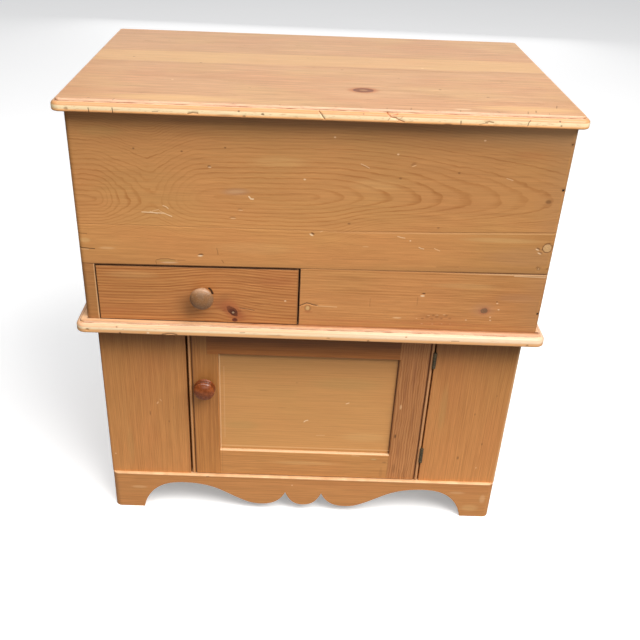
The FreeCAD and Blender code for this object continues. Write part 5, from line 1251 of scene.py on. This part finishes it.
LEFT_NAILS = [((-376.5, z), 3.0) for z in (768.0, 690.0, 640.0, 578.0, 508.0, 459.0)]
RIGHT_NAILS = [((380.2, 764.5), 2.9, 0.28), ((380.6, 691.8), 2.9, 0.28), ((366.6, 555.5), 2.9, 0.28), ((381.3, 471.5), 2.9, 0.28)]
PLUG = [((374.2, 593.2), 8.2, 0.26)]


def joint_low(x):
    return 0.22 + 1.0 * ramp(x, 60.0, 384.0)


def joint_high(x):
    return 0.12 + 0.22 * ramp(x, -100.0, 384.0)


front_board("box_front_upper", "front_upper_skin", M["upper"], -382.0, 386.0, 614.5, 792.0, True, True, joint_high, None,
            UPPER, 10, proud=LEFT_NAILS[:3], sunk=RIGHT_NAILS[:2])
front_board("box_front_middle", "front_middle_skin", M["middle"], -382.0, 386.0, 542.5, 614.5, True, True, joint_low,
            joint_high, MIDDLE, 20, proud=LEFT_NAILS[3:4], sunk=RIGHT_NAILS[2:3] + PLUG, step=1.2)
front_board("box_front_lower", "front_lower_skin", M["lower"], -22.0, 386.0, 434.0, 542.5, False, True, None, joint_low,
            LOWER, 30, sunk=RIGHT_NAILS[3:], step=1.2)
front_board("box_front_strip", "front_strip_skin", M["strip"], -382.0, -359.0, 434.0, 542.5, True, False, None, joint_low,
            (), 40, proud=LEFT_NAILS[4:], step=1.6)


# ---- parts of a CAD mesh that are kept as they are
def cad_faces(node, keep):
    me = NODES[node].data
    co = np.empty(len(me.vertices) * 3)
    me.vertices.foreach_get("co", co)
    co = co.reshape(-1, 3) * 1000.0
    ix = np.empty(len(me.loops), dtype=np.int32)
    me.loops.foreach_get("vertex_index", ix)
    ix = ix.reshape(-1, 3)
    P = co[ix]
    c = P.mean(1)
    nrm = np.cross(P[:, 1] - P[:, 0], P[:, 2] - P[:, 0])
    nrm = nrm / np.maximum(np.linalg.norm(nrm, axis=1, keepdims=True), 1e-12)
    return co, ix[keep(c, nrm, P)]


def joined(parts):
    """Vertices and faces of several patches as one mesh, equal points made one."""
    vs, fs, base = [], [], 0
    for v, faces in parts:
        vs.append(np.asarray(v, float))
        fs.append([np.asarray(f, int) + base for f in faces])
        base += len(v)
    V = np.concatenate(vs)
    key = np.round(V, 3)
    _, first, inv = np.unique(key, axis=0, return_index=True, return_inverse=True)
    inv = inv.ravel()
    out = []
    for group in fs:
        for f in group:
            g = inv[f]
            keepers = [int(g[i]) for i in range(len(g)) if g[i] != g[i - 1]]
            if len(set(keepers)) >= 3:
                out.append(keepers)
    used = np.unique(np.concatenate([np.array(f) for f in out]))
    remap = np.full(len(first), -1)
    remap[used] = np.arange(len(used))
    return V[first][used], [[int(remap[k]) for k in f] for f in out]


# ---- the drawer's face
def drawer_face():
    x0, x1, z0, z1 = -358.0, -23.5, 434.6, 540.4
    co, tri = cad_faces("drawer_front", lambda c, n, P: ~((P[:, :, 1] < YF + 0.905).all(1)))
    co[:, 2] += np.where(co[:, 2] > z1 - 1.5, fall_low(co[:, 0]), 0.0)
    e = np.array([0.0, 0.26, 0.9])
    xs = np.concatenate([x0 + e, spaced(x0 + 2.0, x1 - 2.0, 1.2), x1 - e[::-1]])
    zs = np.concatenate([z0 + e, spaced(z0 + 2.0, z1 - 2.0, 1.2), z1 - e[::-1]])
    A, B = np.meshgrid(xs, zs)

    def roll(d):
        return np.interp(d, [0.0, 0.26, 0.9], [0.9, 0.26, 0.0])
    edge = np.minimum(np.minimum(A - x0, x1 - A), np.minimum(B - z0, z1 - B))
    o = np.maximum(roll(np.minimum(A - x0, x1 - A)), roll(np.minimum(B - z0, z1 - B)))
    fade = ramp(edge, 0.9, 5.0)
    d = (0.09 * lumps(A / 55.0, B / 31.0, 51) + 0.045 * lumps(A / 13.0, B / 8.0, 52) + 0.05 * lumps(A / 44.0, B / 2.4, 53)) * fade
    d = np.minimum(d, 0.0) - dents(A, B, DRAWER) - 0.10 * ramp(lumps(A / 9.0, B / 9.0, 54), 0.2, 0.9) * (1 - ramp(edge, 0.9, 3.0)) * ramp(edge, 0.0, 0.3)
    lean = fall_low(A) * np.clip((B - 500.0) / (z1 - 1.5 - 500.0), 0, 1)
    V = np.stack([A, YF + o - d, B + lean], -1)
    verts, faces = joined([(co, tri), (V.reshape(-1, 3), grid_faces(*A.shape))])
    piece("drawer_front_skin", verts, faces, M["drawer"], "drawer_front", "drawer")


drawer_face()


# ---- lid and waist board
def moulded(node, name, mat, X, yf, yb, z0, t, R, back_r, marks, top_marks, seed, body, top_step, worn):
    arc = np.linspace(0, math.pi / 2, 7)
    ru = 2.4
    prof = [(ru - ru * math.sin(a), ru - ru * math.cos(a), "under") for a in arc]
    for w in spaced(ru, t - 10.0, 1.6)[1:]:
        prof.append((0.0, w, "face"))
    for a in np.linspace(0, math.pi / 2, 10)[1:]:
        prof.append((6 - 6 * math.cos(a), t - 10 + 6 * math.sin(a), "ovolo"))
    prof += [(6.6, t - 4.0, "step"), (7.0, t - 4.0, "step"), (7.0, t - 3.0, "wall"), (7.0, t - 2.0, "wall"), (7.0, t - 1.5, "arris")]
    for a in np.linspace(0, math.pi / 2, 5)[1:]:
        prof.append((8.5 - 1.5 * math.cos(a), t - 1.5 + 1.5 * math.sin(a), "arris"))
    for u in spaced(8.5, R, 1.4)[1:]:
        prof.append((u, t, "top"))
    U = np.array([p[0] for p in prof])
    W = np.array([p[1] for p in prof])
    du, dw = np.gradient(U), np.gradient(W)
    ln = np.hypot(du, dw)
    nu, nw = -dw / ln, du / ln
    kind = [p[2] for p in prof]

    fx = [spaced(-X + R, X - R, 2.4)]
    for k, at, size, *_ in list(marks) + [m for m in top_marks if m[-1] and (m[1][1] if m[0] == "dot" else m[1][0][1]) < yf + 30]:
        xs = [at[0]] if k == "dot" else [a[0] for a in at]
        pad = (size[0] if k == "dot" else size) + 1.6
        lo, hi = max(min(xs) - pad, -X + R), min(max(xs) + pad, X - R)
        if hi > lo:
            fx.append(np.arange(lo, hi, 0.55))
    fx = np.unique(np.round(np.concatenate(fx), 2))
    pick = [fx[0]]
    for v in fx[1:]:
        if v - pick[-1] >= 0.4:
            pick.append(v)
    pick[-1] = X - R
    fx = np.array(pick)
    ys = spaced(yf + R, yb, 6.0)              # from the front corner to the back
    share = (ys - (yf + R)) / (yb - yf - R)

    def y_end(u):
        if not back_r or u >= back_r:
            return yb
        return yb - back_r + math.sqrt(back_r ** 2 - (back_r - u) ** 2)

    def top_lift(x, y):
        d = 0.07 * lumps(x / 85.0, y / 47.0, seed + 5) + 0.035 * lumps(x / 21.0, y / 9.0, seed + 6)
        d = np.minimum(d, 0.0) - 0.01
        return d - dents(x, y, top_marks)

    rows = []
    K = 12
    for u, w, a, b, kd in zip(U, W, nu, nw, kind):
        ye = y_end(u)
        left = [(-X + u, y, -1.0, 0.0) for y in (yf + R + share[::-1] * (ye - yf - R))]
        r = R - u
        c1 = [(-X + R - r * math.cos(q), yf + R - r * math.sin(q), -math.cos(q), -math.sin(q)) for q in
              (math.pi / 2 * k / K for k in range(1, K))]
        fr = [(x, yf + u, 0.0, -1.0) for x in fx]
        c2 = [(X - R + r * math.sin(q), yf + R - r * math.cos(q), math.sin(q), -math.cos(q)) for q in
              (math.pi / 2 * k / K for k in range(1, K))]
        right = [(X - u, y, 1.0, 0.0) for y in (yf + R + share * (ye - yf - R))]
        P = np.array(left + c1 + fr + c2 + right)
        x, y, ox, oy = P.T
        run = x * 0.7 + (y - yf) * np.where(x < 0, -1.0, 1.0) * (np.abs(ox) > 0.5)      # a coordinate along the edge
        if kd == "top":
            dd = top_lift(x, y)
        else:
            rough = lumps(run / 31.0, w / 6.0 + 3, seed) * 0.6 + lumps(run / 9.0, w / 3.0 + 7, seed + 1) * 0.4
            amp = {"under": 0.10, "face": 0.10, "ovolo": 0.13, "step": 0.05, "wall": 0.06, "arris": worn}[kd]
            dd = np.minimum(rough * amp, 0.0) - (0.05 if kd == "arris" else 0.0)
            if kd == "arris":
                bite = ramp(lumps(run / 6.0, np.full_like(run, 2.0), seed + 2), 0.35, 0.95)
                dd = dd - 0.35 * worn * bite
            frontness = ramp(-oy, 0.5, 0.95)
            dd = dd - dents(x, np.full_like(x, z0 + w), marks) * frontness
            if kd == "arris":
                dd = dd - 0.6 * dents(x, y, top_marks)
        V = np.stack([x - ox * a * dd, y - oy * a * dd, np.full_like(x, z0 + w) + b * dd], 1)
        # stay inside the board's own box
        V[:, 0] = np.clip(V[:, 0], -X, X)
        V[:, 1] = np.clip(V[:, 1], yf, yb)
        V[:, 2] = np.clip(V[:, 2], z0, z0 + t)
        if kd == "under" and w < 1e-6:
            V[:, 0], V[:, 1], V[:, 2] = x, y, z0
        rows.append(V)
    S = np.array(rows)
    nr, nc = S.shape[:2]
    parts = [(S.reshape(-1, 3), grid_faces(nr, nc))]
    # the flat of the top, whose lines carry on from the stations of the edge
    A, B = np.meshgrid(fx, ys, indexing="xy")
    if len(fx) * len(ys) > 60000 or top_step > 20:
        pass
    Z = z0 + t + top_lift(A, B)
    Z = np.minimum(Z, z0 + t)
    for j, x in ((0, fx[0]), (-1, fx[-1])):
        ye = y_end(R)
        B[:, j] = yf + R + share * (ye - yf - R)
        Z[:, j] = np.minimum(z0 + t + top_lift(A[:, j], B[:, j]), z0 + t)
    parts.append((np.stack([A, B, Z], -1).reshape(-1, 3), grid_faces(*A.shape)))
    bx, by = X - back_r, yb - back_r

    def keep(c, n, P):
        inset = np.minimum(X - np.abs(c[:, 0]), c[:, 1] - yf)
        m = (P[:, :, 2] < z0 + 0.003).all(1)
        m |= (n[:, 1] > 0.99) & (np.abs(c[:, 1] - yb) < 0.01)
        m |= (inset > 20.0) & (c[:, 2] < z0 + t - 0.5)
        if back_r:
            rx, ry = np.abs(c[:, 0]) - bx, c[:, 1] - by
            rr = np.hypot(rx, ry)
            radial = (n[:, 0] * np.sign(c[:, 0]) * rx + n[:, 1] * ry) / np.maximum(rr, 1e-6)
            m |= (rx > 0) & (ry > 0) & (np.abs(rr - back_r) < 0.4) & (radial > 0.985)
        return m
    co, tri = cad_faces(node, keep)
    parts.append((co, tri))
    verts, faces = joined(parts)
    return piece(name, verts, faces, mat, node, body, sharp=36.0)


moulded("lid_board", "lid_board_skin", M["lid"], 397.0, -251.1, 253.9, 792.0, 18.0, 14.0, 16.0, LID_EDGE, LID, 60, "lid",
        4.5, 0.30)
moulded("waist_board", "waist_board_skin", M["waist"], 400.0, -250.1, 253.9, 414.0, 20.0, 16.0, 0.0, WAIST_EDGE, (), 70,
        "cabinet", 30.0, 0.30)


# ================================================================== the stage
def sheet_of_floor(name, z, color, rough, patch=None, glow=0.0):
    """patch: a paler colour painted on the floor just in front of the cabinet, a painted pool of the room's light."""
    me = bpy.data.meshes.new(name)
    s = 16.0
    me.from_pydata([(-s, -s, z), (s, -s, z), (s, s, z), (-s, s, z)], [], [(0, 1, 2, 3)])
    floor = bpy.data.objects.new(name, me)
    bpy.context.scene.collection.objects.link(floor)
    n = Net(name + "_paper")
    x, y, _ = n.position()
    c = n.mix(n.smooth(n.noise(n.mm, 0.0012, 2.0), 0.3, 0.7), [x - 0.01 for x in color], color)
    if patch is not None:
        # painted pool of light on the hidden floor in front of the cabinet
        near, _ = n.disc(x, y, (0.0, -520.0), (720.0, 420.0), 0.35)
        c = n.mix(near, c, patch)
    mat = n.finish(c, rough, specular=0.1)
    if glow:
        b = next(k for k in n.t.nodes if k.type == "BSDF_PRINCIPLED")
        b.inputs["Emission Color"].default_value = (1.0, 1.0, 1.0, 1.0)
        b.inputs["Emission Strength"].default_value = glow
    me.materials.append(mat)
    return floor


def stage():
    # the pale floor that is seen, and a darker one just under it that gives the light thrown back up
    seen = sheet_of_floor("floor", 0.0, (0.88, 0.88, 0.88), 0.9, glow=0.30)
    seen.visible_diffuse = False
    seen.visible_glossy = False
    seen.visible_shadow = False
    under = sheet_of_floor("floor_bounce", -0.0008, (0.06, 0.06, 0.06), 0.9, patch=(0.30, 0.295, 0.285))
    under.visible_camera = False
    world = bpy.data.worlds.new("studio")
    world.use_nodes = True
    t = world.node_tree
    bg = t.nodes["Background"]
    tc = t.nodes.new("ShaderNodeTexCoord")
    sep = t.nodes.new("ShaderNodeSeparateXYZ")
    ramp = t.nodes.new("ShaderNodeValToRGB")
    t.links.new(tc.outputs["Generated"], sep.inputs[0])
    t.links.new(sep.outputs["Z"], ramp.inputs[0])
    ramp.color_ramp.elements[0].position = 0.02
    ramp.color_ramp.elements[0].color = (0.06, 0.06, 0.065, 1)
    ramp.color_ramp.elements[1].position = 0.95
    ramp.color_ramp.elements[1].color = (1.0, 1.02, 1.06, 1)
    t.links.new(ramp.outputs[0], bg.inputs["Color"])
    bg.inputs["Strength"].default_value = WORLD
    bpy.context.scene.world = world

    def area(name, az, el, dist, size, watts, color=(1, 1, 1), target=(0, -0.1, 0.5)):
        """az: degrees to the right of straight in front; el: degrees above the horizon."""
        a, e = math.radians(az), math.radians(el)
        t = Vector(target)
        loc = t + Vector((math.sin(a) * math.cos(e), -math.cos(a) * math.cos(e), math.sin(e))) * dist
        lamp = bpy.data.lights.new(name, "AREA")
        lamp.shape = "RECTANGLE"
        lamp.size, lamp.size_y = size
        lamp.energy = watts
        lamp.color = color
        ob = bpy.data.objects.new(name, lamp)
        ob.location = loc
        ob.rotation_euler = (t - loc).to_track_quat("-Z", "Y").to_euler()
        bpy.context.scene.collection.objects.link(ob)
        return ob

    area("key", 45, 52, 4.6, (3.0, 3.0), KEY, (1.0, 0.985, 0.96))
    area("left_sky", -32, 60, 4.0, (2.4, 2.0), FILL, (1.0, 0.99, 0.98))
    area("front_sky", 4, 9, 4.6, (3.4, 1.8), FRONT_FILL, (1.0, 0.985, 0.965))
    area("back_sky", 178, 6, 4.6, (3.4, 1.6), BACK_FILL, (1.0, 0.99, 0.98))


WORLD, KEY, FILL, FRONT_FILL, BACK_FILL = 0.42, 275.0, 62.0, 35.0, 14.0


def camera():
    yaw, pitch, roll = 0.0084, 0.5476, 0.0379
    fwd = Vector((math.sin(yaw) * math.cos(pitch), math.cos(yaw) * math.cos(pitch), -math.sin(pitch)))
    right = Vector((math.cos(yaw), -math.sin(yaw), 0.0))
    up = right.cross(fwd)
    r2 = right * math.cos(roll) + up * math.sin(roll)
    u2 = up * math.cos(roll) - right * math.sin(roll)
    m = Matrix.Identity(4)
    for i in range(3):
        m[i][0], m[i][1], m[i][2] = r2[i], u2[i], -fwd[i]
    m[0][3], m[1][3], m[2][3] = -0.0303216, -1.4402261, 1.1495237
    cam = bpy.data.cameras.new("camera")
    cam.sensor_fit = "HORIZONTAL"
    cam.sensor_width = 36.0
    cam.lens = 821.854 / 640.0 * 36.0
    cam.shift_x, cam.shift_y = 0.033210, 0.023398
    cam.clip_start, cam.clip_end = 0.05, 60.0
    ob = bpy.data.objects.new("camera", cam)
    ob.matrix_world = m
    bpy.context.scene.collection.objects.link(ob)
    bpy.context.scene.camera = ob


stage()
camera()
view = bpy.context.scene.view_settings
view.view_transform = "Standard"
view.look = "None"
